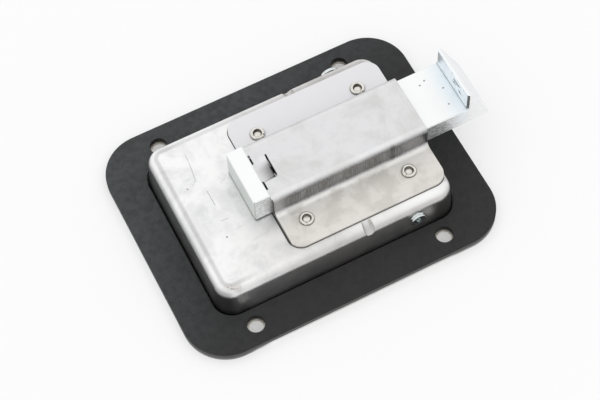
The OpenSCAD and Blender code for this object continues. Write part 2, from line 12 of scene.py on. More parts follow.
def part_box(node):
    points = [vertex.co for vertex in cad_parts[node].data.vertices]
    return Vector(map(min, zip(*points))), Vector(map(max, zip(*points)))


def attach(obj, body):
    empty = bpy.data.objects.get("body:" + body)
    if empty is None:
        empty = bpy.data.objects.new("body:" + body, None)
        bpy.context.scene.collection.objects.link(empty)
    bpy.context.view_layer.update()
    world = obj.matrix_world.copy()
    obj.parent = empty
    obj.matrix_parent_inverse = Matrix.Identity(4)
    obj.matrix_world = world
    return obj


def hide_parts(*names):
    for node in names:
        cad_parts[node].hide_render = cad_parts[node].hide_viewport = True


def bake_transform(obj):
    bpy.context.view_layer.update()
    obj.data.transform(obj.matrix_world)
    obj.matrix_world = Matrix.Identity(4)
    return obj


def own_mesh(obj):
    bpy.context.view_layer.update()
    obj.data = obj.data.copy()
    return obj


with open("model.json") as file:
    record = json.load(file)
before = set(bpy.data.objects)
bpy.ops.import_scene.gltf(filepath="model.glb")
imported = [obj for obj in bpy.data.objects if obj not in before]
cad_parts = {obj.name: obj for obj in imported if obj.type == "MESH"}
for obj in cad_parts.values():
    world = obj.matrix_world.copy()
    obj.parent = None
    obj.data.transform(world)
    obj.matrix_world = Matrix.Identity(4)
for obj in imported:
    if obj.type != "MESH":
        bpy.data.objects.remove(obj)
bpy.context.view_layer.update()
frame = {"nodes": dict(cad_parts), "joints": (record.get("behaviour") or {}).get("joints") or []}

bl_info = {
    "name": "Paddle latch dressing",
    "version": (1, 0, 0),
    "blender": (4, 5, 0),
    "location": "View3D > Sidebar > Latch",
    "description": "Pressed, rolled, wound and turned pieces, finishes and a studio for a flush paddle latch",
    "category": "Object",
}

MM = 0.001
PIVOT = next(j for j in frame["joints"] if j["name"] == "paddle_pivot")["pos_m"]
WALL_X, WALL_Y, PAN_CORNER = 46.35 * MM, 33.4 * MM, 7 * MM
HOLE_X, HOLE_Y = 37 * MM, 40 * MM
NOSE_LENGTH, BOLT_HEIGHT = 9.4 * MM, 9 * MM
DENT_OFFSET = 18.2 * MM
KEY_WAY = (0.12, -0.22, 0.97)

PAN_SCRATCHES = (
    ((-32.4, 24.2), (-32.6, 19.7), 0.16, 0.55), ((-32.6, 19.7), (-33.6, 13.0), 0.18, 0.65),
    ((-33.6, 13.0), (-35.7, 11.3), 0.14, 0.40), ((-31.8, 7.4), (-31.7, 1.1), 0.18, 0.75),
    ((-32.6, -5.5), (-29.9, -5.6), 0.16, 0.60), ((-33.4, -12.0), (-33.5, -12.2), 0.45, 0.85),
    ((-37.6, 11.4), (-37.5, 11.2), 0.40, 0.80), ((-24.0, 9.2), (-26.5, 7.8), 0.14, 0.35),
    ((-40.8, -30.2), (-39.8, -30.7), 0.40, 0.75), ((-41.7, -29.3), (-41.4, -29.5), 0.35, 0.60),
    ((-39.2, -30.9), (-38.7, -31.0), 0.28, 0.60), ((-40.2, -29.4), (-40.0, -29.5), 0.25, 0.50),
)
PAN_SMUDGES = (
    ((-24.0, 4.0), (-24.4, -6.0), 2.4, 0.30), ((-22.6, 17.0), (-23.0, 11.0), 2.6, 0.22),
    ((-38.5, 11.0), (-35.0, 14.0), 3.2, 0.22), ((-37.0, 0.0), (-36.0, -8.0), 4.0, 0.20),
    ((-20.0, -25.0), (-6.0, -27.5), 4.5, 0.30),
)
BOLT_PITS = ((51.3, 5.5), (58.1, 0.8), (56.6, -5.9), (53.6, 6.5))


def length(name, description, millimetres):
    """A length property, stated in millimetres and kept in metres."""
    return bpy.props.FloatProperty(
        name=name, description=description, default=millimetres * MM, unit="LENGTH", precision=5
    )


def angle(name, description, degrees):
    """An angle property, stated in degrees and kept in radians."""
    return bpy.props.FloatProperty(
        name=name, description=description, default=math.radians(degrees), unit="ROTATION"
    )


def colour(name, description, red, green, blue):
    """A colour property with linear values."""
    return bpy.props.FloatVectorProperty(
        name=name, description=description, default=(red, green, blue), size=3, subtype="COLOR", min=0, max=1
    )


def share(name, description, value, top=1.0):
    """A plain number from nothing to a top value."""
    return bpy.props.FloatProperty(name=name, description=description, default=value, min=0, max=top)


class CoverSizes(bpy.types.PropertyGroup):
    """Sizes of the pressed bolt cover; its outer box comes from the frame."""

    sheet: length("Sheet", "Thickness of the sheet", 1.2)
    hat_width: length("Hat width", "Outside width of the raised part", 25.0)
    top_bend: length("Top bend", "Outside radius of the bends along the top", 2.3)
    foot_bend: length("Foot bend", "Outside radius of the bends along the feet", 2.2)
    corner: length("Corner", "Corner radius of the feet", 5.0)
    louver_length: length("Louver length", "From the tail end to the slit", 5.6)
    louver_width: length("Louver width", "Width of the pressed louver", 9.2)
    louver_near: length("Louver near side", "Width of the fold on the near side of the louver", 1.9)
    louver_far: length("Louver far side", "Width of the soft slope on its far side", 5.0)
    louver_reach: length("Louver reach", "How far the far slope runs past the louver", 1.2)
    louver_end: length("Louver end", "Depth of the louver at the tail end", 0.4)
    louver_depth: length("Louver depth", "Depth of the louver at its slit", 1.7)
    slit: length("Slit", "Width of the slit", 0.6)
    slit_far: length("Slit far end", "How far the slit stops short of the far slope", 0.4)
    slit_near: length("Slit near end", "How far the slit stops short of the near side", 1.1)
    relief_width: length("Relief width", "Width of the notch on each side of the louver", 3.9)
    relief_length: length("Relief length", "Depth of those notches", 0.8)
    relief_lap: length("Relief lap", "How far the notches reach into the louver", 0.9)
    edge_break: length("Edge break", "Width of the broken edges of the sheet", 0.12)
    rivet_cut: length("Rivet cut", "Half width of the openings under the rivets' rings", 1.7)


class RivetSizes(bpy.types.PropertyGroup):
    """Sizes of the semi-tubular rivets; their places come from the frame."""

    head: length("Head", "Diameter of the heads inside the pan", 6.0)
    head_height: length("Head height", "Thickness of the heads", 1.2)
    shank: length("Shank", "Diameter of the shanks", 3.6)
    ring: length("Ring", "Diameter of the rolled rings", 5.2)
    ring_height: length("Ring height", "Height of the rolled rings", 1.0)
    bore: length("Bore", "Diameter of the hollows", 3.0)
    bore_depth: length("Bore depth", "Depth of the hollows", 1.15)
    wobble: length("Wobble", "How far the rolling leaves the ring out of round", 0.05)
    split: length("Split", "Depth of the split in a rolled ring", 0.5)
    split_angle: angle("Split angle", "Half width of the split", 9)


class SpringSizes(bpy.types.PropertyGroup):
    """Sizes of the wound springs; their boxes come from the frame."""

    bolt_wire: length("Bolt spring wire", "Wire diameter of the bolt springs", 0.8)
    bolt_turns: bpy.props.IntProperty(name="Bolt spring turns", description="Turns of each bolt spring", default=11)
    paddle_wire: length("Paddle spring wire", "Wire diameter of the paddle spring", 0.9)
    paddle_turns: bpy.props.IntProperty(name="Paddle spring turns", description="Turns round the pin", default=4)
    paddle_coil: length("Paddle spring coil", "Diameter of the paddle spring's coil at its wire's middle", 6.2)
    paddle_leg: angle("Paddle leg", "Angle at which the leg on the paddle leaves the coil", 30)
    pan_leg: angle("Pan leg", "Angle at which the leg on the pan leaves the coil", -40)
    close_pitch: share("Close pitch", "Pitch of turns that lie side by side, in wire diameters", 1.15, 2.0)


class PinSizes(bpy.types.PropertyGroup):
    """Sizes of the pivot pin; its length and place come from the frame."""

    shaft: length("Shaft", "Diameter of the pin", 4.4)
    head: length("Head", "Diameter of the head", 7.0)
    head_height: length("Head height", "Thickness of the head", 1.2)
    flare: length("Flare", "Diameter of the rims of the flared end", 5.8)
    flare_length: length("Flare length", "Length of the flared end outside the pan", 1.5)
    hollow: length("Hollow", "Diameter of the hollow in the flared end", 3.0)
    hollow_depth: length("Hollow depth", "Depth of that hollow", 2.7)
    groove: length("Groove", "Depth of the groove between the rims", 0.4)


class Finishes(bpy.types.PropertyGroup):
    """Colours of the metals and the rubber."""

    pan_steel: colour("Pan steel", "Satin stainless of the drawn pan", 0.96, 0.96, 0.96)
    pan_smudge: colour("Pan smudges", "Duller clouds on the pan", 0.84, 0.84, 0.845)
    # Painted shade: the pan is multiplied by this colour along a slant, darker towards the bolt's nose.
    pan_painted_falloff: colour("Pan dullness", "How the pan dulls towards the bolt's nose", 0.74, 0.725, 0.71)
    cover_steel: colour("Cover steel", "Satin stainless of the cover", 0.775, 0.775, 0.785)
    cover_smudge: colour("Cover smudges", "Duller clouds on the cover", 0.70, 0.695, 0.69)
    cover_far: colour("Far foot", "Steel of the cover's far foot", 0.83, 0.825, 0.845)
    handling: colour("Handling marks", "Near foot of the cover, dulled by handling", 0.80, 0.77, 0.725)
    paddle_steel: colour("Paddle steel", "Satin stainless of the paddle", 0.80, 0.80, 0.80)
    rivet_steel: colour("Rivet steel", "Steel of the rivets", 0.82, 0.80, 0.75)
    zinc: colour("Zinc", "Bright zinc plating of the bolt", 0.97, 0.98, 0.98)
    zinc_blue: colour("Zinc blue", "Blue cast of the plating", 0.90, 0.96, 1.0)
    pin_zinc: colour("Pin zinc", "Zinc plating of the pin", 0.80, 0.84, 0.84)
    wire: colour("Spring wire", "Drawn spring steel", 0.50, 0.51, 0.53)
    rubber: colour("Rubber", "Face of the gasket", 0.025, 0.025, 0.026)
    # Painted sheen: the gasket is painted paler with this colour towards the tail and the far side.
    rubber_painted_sheen: colour("Rubber bloom", "Paler bloom on the gasket", 0.060, 0.064, 0.066)
    rubber_cut: colour("Cut rubber", "Cut edges of the gasket", 0.085, 0.085, 0.085)


class Studio(bpy.types.PropertyGroup):
    """Camera, lights and floor."""

    azimuth: angle("Azimuth", "Direction that the camera stands in, from -Y towards +X", -23.6)
    elevation: angle("Elevation", "Height of the camera above the horizon", 61.64)
    roll: angle("Roll", "Turn of the picture about the view line", -3.83)
    distance: length("Distance", "From the camera to the plane of its target", 624.6)
    lens: length("Lens", "Focal length on a 36 mm wide sensor", 104.36)
    aim_right: length("Aim right", "Shift of the target to the right in the picture", 0.22)
    aim_up: length("Aim up", "Shift of the target upwards in the picture", -2.32)
    sky: share("Sky", "Brightness of the soft ceiling light", 1.0, 4.0)
    horizon: share("Horizon", "Share of that brightness low down all round", 0.88)
    key_power: share("Key power", "Watts of the soft key light", 0.18, 100.0)
    key_size: length("Key size", "Side of the key light", 600)
    floor_tone: colour("Floor", "Pale floor", 0.97, 0.97, 0.97)
    floor_lift: share("Floor lift", "Share of plain white in the floor as it is seen", 0.45)


def arc(centre, radius, start, end, count):
    """Points on a circle about centre, from one angle to another in degrees, both ends included."""
    turn = np.radians(np.linspace(start, end, count))
    return np.stack([centre[0] + radius * np.cos(turn), centre[1] + radius * np.sin(turn)], -1)


def quads(rows, cols, wrap_rows=False, wrap_cols=False):
    """Faces between neighbouring points of a grid, as an array of rows, columns and four point numbers each."""
    row = np.arange(rows if wrap_rows else rows - 1)[:, None]
    col = np.arange(cols if wrap_cols else cols - 1)[None, :]
    next_row, next_col = (row + 1) % rows, (col + 1) % cols
    corners = [row * cols + col, next_row * cols + col, next_row * cols + next_col, row * cols + next_col]
    return np.stack(np.broadcast_arrays(*corners), -1)


def new_piece(name, points, faces, material, marks=None):
    """A mesh object at the origin from an array of points and one of faces; points that coincide are merged.
    Marks are named numbers, one for each point, which the material can read."""
    mesh = bpy.data.meshes.new(name)
    mesh.from_pydata(points.reshape(-1, 3), [], faces.reshape(-1, 4).tolist())
    for label, values in (marks or {}).items():
        mesh.attributes.new(label, "FLOAT", "POINT").data.foreach_set("value", values.ravel().astype(np.float32))
    build = bmesh.new()
    build.from_mesh(mesh)
    bmesh.ops.remove_doubles(build, verts=build.verts, dist=1e-7)
    bmesh.ops.delete(build, geom=[v for v in build.verts if not v.link_faces], context="VERTS")
    build.to_mesh(mesh)
    build.free()
    mesh.materials.append(material)
    piece = bpy.data.objects.new(name, mesh)
    bpy.context.scene.collection.objects.link(piece)
    return piece


def settle(piece, sheet=0.0, edge_break=0.0, crease=35):
    """Gives a surface the thickness of its sheet and breaks its edges, then shades what is round as round."""
    if sheet:
        wall = piece.modifiers.new("sheet", "SOLIDIFY")
        wall.thickness = sheet
        wall.offset = -1
        wall.use_even_offset = True
        wall.use_quality_normals = True
    if edge_break:
        broken = piece.modifiers.new("edges", "BEVEL")
        broken.width = edge_break
        broken.segments = 2
        broken.limit_method = "ANGLE"
        broken.angle_limit = math.radians(50)
    graph = bpy.context.evaluated_depsgraph_get()
    raw = piece.data
    piece.data = bpy.data.meshes.new_from_object(piece.evaluated_get(graph), depsgraph=graph)
    piece.modifiers.clear()
    bpy.data.meshes.remove(raw)
    piece.data.name = piece.name
    piece.data.shade_smooth()
    piece.data.set_sharp_from_angle(angle=math.radians(crease))


def stand_for(piece, node, body):
    """Lets a piece ride on a body in place of a CAD node, and hides that node."""
    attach(piece, body)
    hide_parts(node)


def dress(node, material):
    """Gives a CAD node its finish."""
    for place in frame["nodes"][node].material_slots:
        place.material = material


class NodeTree:
    """Short calls that add nodes to a material or a world and return their outputs."""

    def __init__(self, owner):
        owner.use_nodes = True
        self.tree = owner.node_tree

    def feed(self, socket, value):
        """Links an output to a socket, or sets the socket's own value."""
        if isinstance(value, bpy.types.NodeSocket):
            self.tree.links.new(value, socket)
        elif socket.type == "RGBA":
            socket.default_value = (*value[:3], 1.0)
        else:
            socket.default_value = value

    def add(self, kind, inputs, **settings):
        """Adds a node with settings, and with inputs given by name or place."""
        node = self.tree.nodes.new(kind)
        for key, value in settings.items():
            setattr(node, key, value)
        for key, value in inputs.items():
            self.feed(node.inputs[key], value)
        return node

    def coords(self, output="Object"):
        """Coordinates on the piece."""
        return self.add("ShaderNodeTexCoord", {}).outputs[output]

    def places(self, scale=(1, 1, 1), turn=(0, 0, 0), shift=(0, 0, 0)):
        """Object coordinates, stretched, turned and shifted."""
        inputs = {"Vector": self.coords(), "Scale": scale, "Rotation": turn, "Location": shift}
        return self.add("ShaderNodeMapping", inputs).outputs[0]

    def axes(self, vector):
        """The three parts of a vector."""
        return self.add("ShaderNodeSeparateXYZ", {0: vector}).outputs

    def noise(self, vector, size, detail=2.0, rough=0.5, warp=0.0):
        """Cloudy noise from 0 to 1, with features about as large as size in metres."""
        inputs = {"Vector": vector, "Scale": 1 / size, "Detail": detail, "Roughness": rough, "Distortion": warp}
        return self.add("ShaderNodeTexNoise", inputs).outputs["Fac"]

    def cells(self, vector, size):
        """Distance and random colour of scattered cells."""
        return self.add("ShaderNodeTexVoronoi", {"Vector": vector, "Scale": 1 / size}).outputs

    def span(self, value, low, high, to_low=0.0, to_high=1.0):
        """A soft step: to_low below low, to_high above high."""
        inputs = {"Value": value, "From Min": low, "From Max": high, "To Min": to_low, "To Max": to_high}
        return self.add("ShaderNodeMapRange", inputs, interpolation_type="SMOOTHSTEP").outputs[0]

    def calc(self, operation, a, b=0.0):
        """A sum worked out for each point."""
        return self.add("ShaderNodeMath", {0: a, 1: b}, operation=operation).outputs[0]

    def blend(self, factor, a, b, mode="MIX"):
        """A mix of two colours."""
        return self.add("ShaderNodeMix", {0: factor, 6: a, 7: b}, data_type="RGBA", blend_type=mode).outputs[2]

    def vector(self, operation, a, b=(0, 0, 0)):
        """A vector worked out for each point, or its length."""
        node = self.add("ShaderNodeVectorMath", {0: a, 1: b}, operation=operation)
        return node.outputs["Value" if operation in ("LENGTH", "DOT_PRODUCT") else "Vector"]

    def number_mix(self, factor, a, b):
        """A mix of two numbers."""
        return self.add("ShaderNodeMix", {0: factor, 2: a, 3: b}).outputs[0]

    def edge_distance(self, centre, half_x, half_y, corner):
        """Distance outwards from a rounded rectangle, seen from above."""
        flat = self.vector("MULTIPLY", self.vector("SUBTRACT", self.coords(), centre), (1, 1, 0))
        past = self.vector("SUBTRACT", self.vector("ABSOLUTE", flat), (half_x - corner, half_y - corner, 0))
        return self.calc("SUBTRACT", self.vector("LENGTH", self.vector("MAXIMUM", past, (0, 0, 0))), corner)

    def stroke(self, start, end, width):
        """A soft line between two points of the piece, seen from above, in millimetres: the distance to the nearest
        point of the line, turned into a step."""
        way = Vector((end[0] - start[0], end[1] - start[1], 0)) * MM
        off = self.vector("SUBTRACT", self.vector("MULTIPLY", self.coords(), (1, 1, 0)), Vector((*start, 0)) * MM)
        run = self.calc("DIVIDE", self.vector("DOT_PRODUCT", off, way), way.length_squared)
        along = self.add("ShaderNodeClamp", {"Value": run}).outputs[0]
        nearest = self.add("ShaderNodeVectorMath", {0: way, "Scale": along}, operation="SCALE").outputs["Vector"]
        gap = self.vector("LENGTH", self.vector("SUBTRACT", off, nearest))
        return self.span(gap, 0.3 * width * MM, width * MM, 1.0, 0.0)

    def mark(self, label):
        """A number that a piece carries at its points."""
        return self.add("ShaderNodeAttribute", {}, attribute_name=label).outputs["Fac"]

    def bump(self, height, distance, strength=1.0, normal=None):
        """Small relief of a height from 0 to 1 times a distance in metres."""
        inputs = {"Height": height, "Distance": distance, "Strength": strength}
        if normal is not None:
            inputs["Normal"] = normal
        return self.add("ShaderNodeBump", inputs).outputs[0]


class Finish(NodeTree):
    """A Principled material."""

    def __init__(self, name, sockets):
        self.material = bpy.data.materials.new(name)
        super().__init__(self.material)
        self.shader = self.tree.nodes["Principled BSDF"]
        self.set(**sockets)

    def set(self, **sockets):
        """Sets the shader's sockets, named with underscores, to numbers, colours or outputs."""
        for name, value in sockets.items():
            self.feed(self.shader.inputs[name.replace("_", " ")], value)

    def paint(self, factor, tone, mode="MIX"):
        """Lays a tone over the colour that the shader already has, or multiplies that colour by it."""
        plain = self.shader.inputs["Base Color"].links[0].from_socket
        self.set(Base_Color=self.blend(factor, plain, tone, mode))


def scratches(finish, turn, seed):
    """Sparse fine scratches: noise drawn out along a turned axis, of which only the peaks are kept."""
    drawn = finish.places(scale=(0.02, 1, 1), turn=(0, 0, turn), shift=(seed, seed, seed))
    lines = finish.span(finish.noise(drawn, 0.35 * MM, detail=1.0), 0.70, 0.80)
    patches = finish.span(finish.noise(finish.places(shift=(seed, 0, 0)), 14 * MM), 0.52, 0.66)
    return finish.calc("MULTIPLY", lines, patches)


def specks(finish, size, spread, chance, seed):
    """Scattered round specks: the middles of cells, kept in a chance share of the cells."""
    found = finish.cells(finish.places(shift=(seed, -seed, seed)), spread)
    dot = finish.span(found["Distance"], 0.3 * size / spread, size / spread, 1.0, 0.0)
    pick = finish.span(finish.axes(found["Color"])[0], 1 - chance, 1 - chance + 0.01)
    return finish.calc("MULTIPLY", dot, pick)


def satin_steel(name, tint, stain, seed):
    """Satin stainless sheet: cloudy smudges, a fine rolled grain, sparse scratches and a few dark specks."""
    finish = Finish(name, {"Metallic": 1.0})
    broad = finish.noise(finish.places(shift=(seed, 0, 0)), 16 * MM, detail=5.0, rough=0.66, warp=0.5)
    cloudy = finish.noise(finish.places(shift=(0, seed, 0)), 4 * MM, detail=4.0, rough=0.6)
    grain = finish.noise(finish.places(scale=(0.12, 1, 1)), 0.25 * MM, detail=2.0)
    lines = finish.calc("MAXIMUM", scratches(finish, 1.1, seed), scratches(finish, -0.4, seed + 3))
    dots = specks(finish, 0.28 * MM, 6 * MM, 0.10, seed)
    smudged = finish.blend(finish.span(broad, 0.45, 0.64), tint, stain)
    dulled = finish.blend(finish.span(cloudy, 0.45, 0.75, 0.0, 0.14), smudged, (0.45, 0.45, 0.45))
    scored = finish.blend(finish.calc("MULTIPLY", lines, 0.24), dulled, (0.30, 0.30, 0.30))
    finish.set(Base_Color=finish.blend(finish.calc("MULTIPLY", dots, 0.6), scored, (0.12, 0.11, 0.10)))
    rough = finish.calc("ADD", finish.span(broad, 0.3, 0.75, 0.28, 0.40), finish.calc("MULTIPLY", grain, 0.10))
    finish.set(Roughness=rough)
    relief = finish.bump(finish.noise(finish.places(), 9 * MM, detail=1.0), 0.05 * MM, 0.35)
    relief = finish.bump(grain, 0.001 * MM, 0.5, relief)
    finish.set(Normal=finish.bump(lines, 0.01 * MM, 0.5, relief))
    return finish


def pan_finish(colours):
    """Satin stainless of the drawn pan: painted brightest at the bolt's tail and darker towards its nose as painted
    shade, with a band of painted shade, streaked along the drawing, round the bend of its edge, painted highlights and
    shade on its bends, dent flanks and holes, single scratches, specks, smudges and a stain, a painted shade line at
    the foot of its wall, where the gasket stops, and a painted contact shadow along the cover's outline."""
    finish = satin_steel("pan_steel", colours.pan_steel, colours.pan_smudge, 2.0)
    x, y, height = finish.axes(finish.coords())
    low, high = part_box("bolt_cover")
    back = low.z
    # Painted shade: the pan is multiplied darker along a slant towards the bolt's nose, for light that falls off away
    # from the tail.
    painted_light_slant = finish.calc("SUBTRACT", x, finish.calc("MULTIPLY", y, 0.35))
    finish.paint(finish.span(painted_light_slant, -40 * MM, 15 * MM), colours.pan_painted_falloff, "MULTIPLY")
    # Painted highlight: the near bend is painted back up towards the pan's bright steel, more so towards the right.
    near_bend_highlight = finish.calc("MULTIPLY", finish.span(y, -27 * MM, -28.4 * MM), finish.span(x, -4 * MM, 8 * MM))
    near_bend_highlight = finish.calc("MULTIPLY", near_bend_highlight, finish.span(height, back - 2.2 * MM, back - 0.8 * MM))
    finish.paint(finish.calc("MULTIPLY", near_bend_highlight, finish.span(x, 10 * MM, 38 * MM, 0.35, 0.8)), colours.pan_steel)
    soft = finish.noise(finish.places(), 3 * MM, detail=4.0, rough=0.6)
    for start, end, width, depth in PAN_SMUDGES:
        area = finish.calc("MULTIPLY", finish.stroke(start, end, width), finish.span(soft, 0.35, 0.62, 0.2, 1.0))
        finish.paint(finish.calc("MULTIPLY", area, depth), (0.50, 0.51, 0.52))
    # Painted shade: a band round the bend of the edge is multiplied darker, streaked along the drawing, weaker at the
    # right and tail ends.
    edge_band_shade = finish.calc(
        "MULTIPLY", finish.span(height, back - 0.5 * MM, back - 2.2 * MM),
        finish.span(height, back - 4.6 * MM, back - 3.5 * MM),
    )
    edge_band_shade = finish.calc("MULTIPLY", edge_band_shade, finish.span(x, 34 * MM, 42 * MM, 0.75, 0.25))
    edge_band_shade = finish.calc("MULTIPLY", edge_band_shade, finish.span(x, -41 * MM, -38 * MM, 0.2, 1.0))
    drawn = finish.noise(finish.places(scale=(0.25, 1, 1)), 1.5 * MM, detail=3.0)
    finish.paint(finish.calc("MULTIPLY", edge_band_shade, finish.span(drawn, 0.3, 0.7, 0.7, 1.0)), (0.76, 0.76, 0.76), "MULTIPLY")
    out = finish.edge_distance((0, 0, 0), WALL_X, WALL_Y, PAN_CORNER)
    # Painted shade: the wall at the tail end is multiplied darker, for the black gasket that it mirrors.
    tail_wall_shade = finish.calc("MULTIPLY", finish.span(x, -40 * MM, -43 * MM), finish.span(out, -2.4 * MM, -1.2 * MM))
    finish.paint(tail_wall_shade, (0.50, 0.50, 0.50), "MULTIPLY")
    # Painted shade: a soft grey line painted just inside the bend round the edge, strongest towards the tail end and
    # the far side.
    groove = finish.calc("MULTIPLY", finish.span(out, -5.2 * MM, -4.3 * MM), finish.span(out, -2.9 * MM, -3.7 * MM))
    reach = finish.calc("MAXIMUM", finish.span(x, -26 * MM, -38 * MM, 0.1, 0.75), finish.span(y, 20 * MM, 26 * MM, 0.0, 0.5))
    finish.paint(finish.calc("MULTIPLY", groove, reach), (0.66, 0.66, 0.66), "MULTIPLY")
    on_back = finish.span(height, back - 1.5 * MM, back - 0.4 * MM)
    for start, end, width, depth in PAN_SCRATCHES:
        line = finish.calc("MULTIPLY", finish.stroke(start, end, width), on_back)
        finish.paint(finish.calc("MULTIPLY", line, depth), (0.30, 0.30, 0.31))
    corner = finish.stroke((-41.6, -29.2), (-38.2, -30.8), 1.8)
    finish.paint(finish.calc("MULTIPLY", corner, finish.span(soft, 0.35, 0.6, 0.1, 0.35)), (0.42, 0.39, 0.33))
    rough = finish.shader.inputs["Roughness"].links[0].from_socket
    finish.set(Roughness=finish.number_mix(finish.span(out, -5 * MM, -2 * MM), rough, 0.34))
    far_x, far_y = finish.axes(finish.vector("ABSOLUTE", finish.coords()))[:2]
    # Painted shade: the upright corner bends are multiplied darker, to dim what they mirror.
    bend = finish.calc("MULTIPLY", finish.span(far_x, 34 * MM, 39 * MM), finish.span(far_y, 23 * MM, 28 * MM))
    bend = finish.calc("MULTIPLY", bend, finish.span(height, back - 3.4 * MM, back - 4.6 * MM))
    finish.paint(bend, (0.5, 0.5, 0.5), "MULTIPLY")
    # Painted shade: dark lines on the flanks of each dent, the one on the nose side wider.
    flank = finish.calc("SUBTRACT", x, PIVOT[0] - DENT_OFFSET)
    tail_flank_shade = finish.calc("MULTIPLY", finish.span(flank, -2.1 * MM, -1.7 * MM), finish.span(flank, -1.1 * MM, -1.5 * MM, 0.0, 0.5))
    nose_flank_shade = finish.calc("MULTIPLY", finish.span(flank, 0.3 * MM, 1.2 * MM), finish.span(flank, 2.3 * MM, 1.7 * MM, 0.0, 0.6))
    in_dent = finish.calc("MULTIPLY", finish.span(far_y, 28.4 * MM, 29.0 * MM), finish.span(far_y, 31.6 * MM, 30.2 * MM))
    finish.paint(finish.calc("MULTIPLY", finish.calc("MAXIMUM", tail_flank_shade, nose_flank_shade), in_dent), (0.36, 0.34, 0.31))
    # Painted shade: a dark line in the gap at the foot of the wall, where the gasket stops.
    foot = finish.calc("MULTIPLY", finish.span(out, -0.5 * MM, -0.2 * MM), finish.span(out, 1.1 * MM, 0.9 * MM))
    foot = finish.calc("MULTIPLY", foot, finish.span(height, 2.5 * MM, 2.1 * MM))
    finish.paint(finish.calc("MULTIPLY", foot, 0.85), (0.20, 0.20, 0.20))
    # Painted contact shadow: a thin dark line on the pan's back along the cover's outline.
    middle = ((low.x + high.x) / 2, (low.y + high.y) / 2, 0)
    off = finish.edge_distance(middle, (high.x - low.x) / 2, (high.y - low.y) / 2, 5 * MM)
    cover_contact_shadow = finish.calc("MULTIPLY", finish.span(off, -0.1 * MM, 0.0), finish.span(off, 0.42 * MM, 0.16 * MM))
    finish.paint(finish.calc("MULTIPLY", cover_contact_shadow, on_back), (0.03, 0.03, 0.03))
    # Painted shade: the pan round each mounting hole, seen through the gasket's hole, is painted darker.
    hole = finish.vector("SUBTRACT", finish.vector("ABSOLUTE", finish.coords()), (HOLE_X, HOLE_Y, 0))
    bore = finish.span(finish.vector("LENGTH", hole), 3.6 * MM, 3.2 * MM)
    finish.paint(bore, (0.50, 0.47, 0.42))
    return finish.material


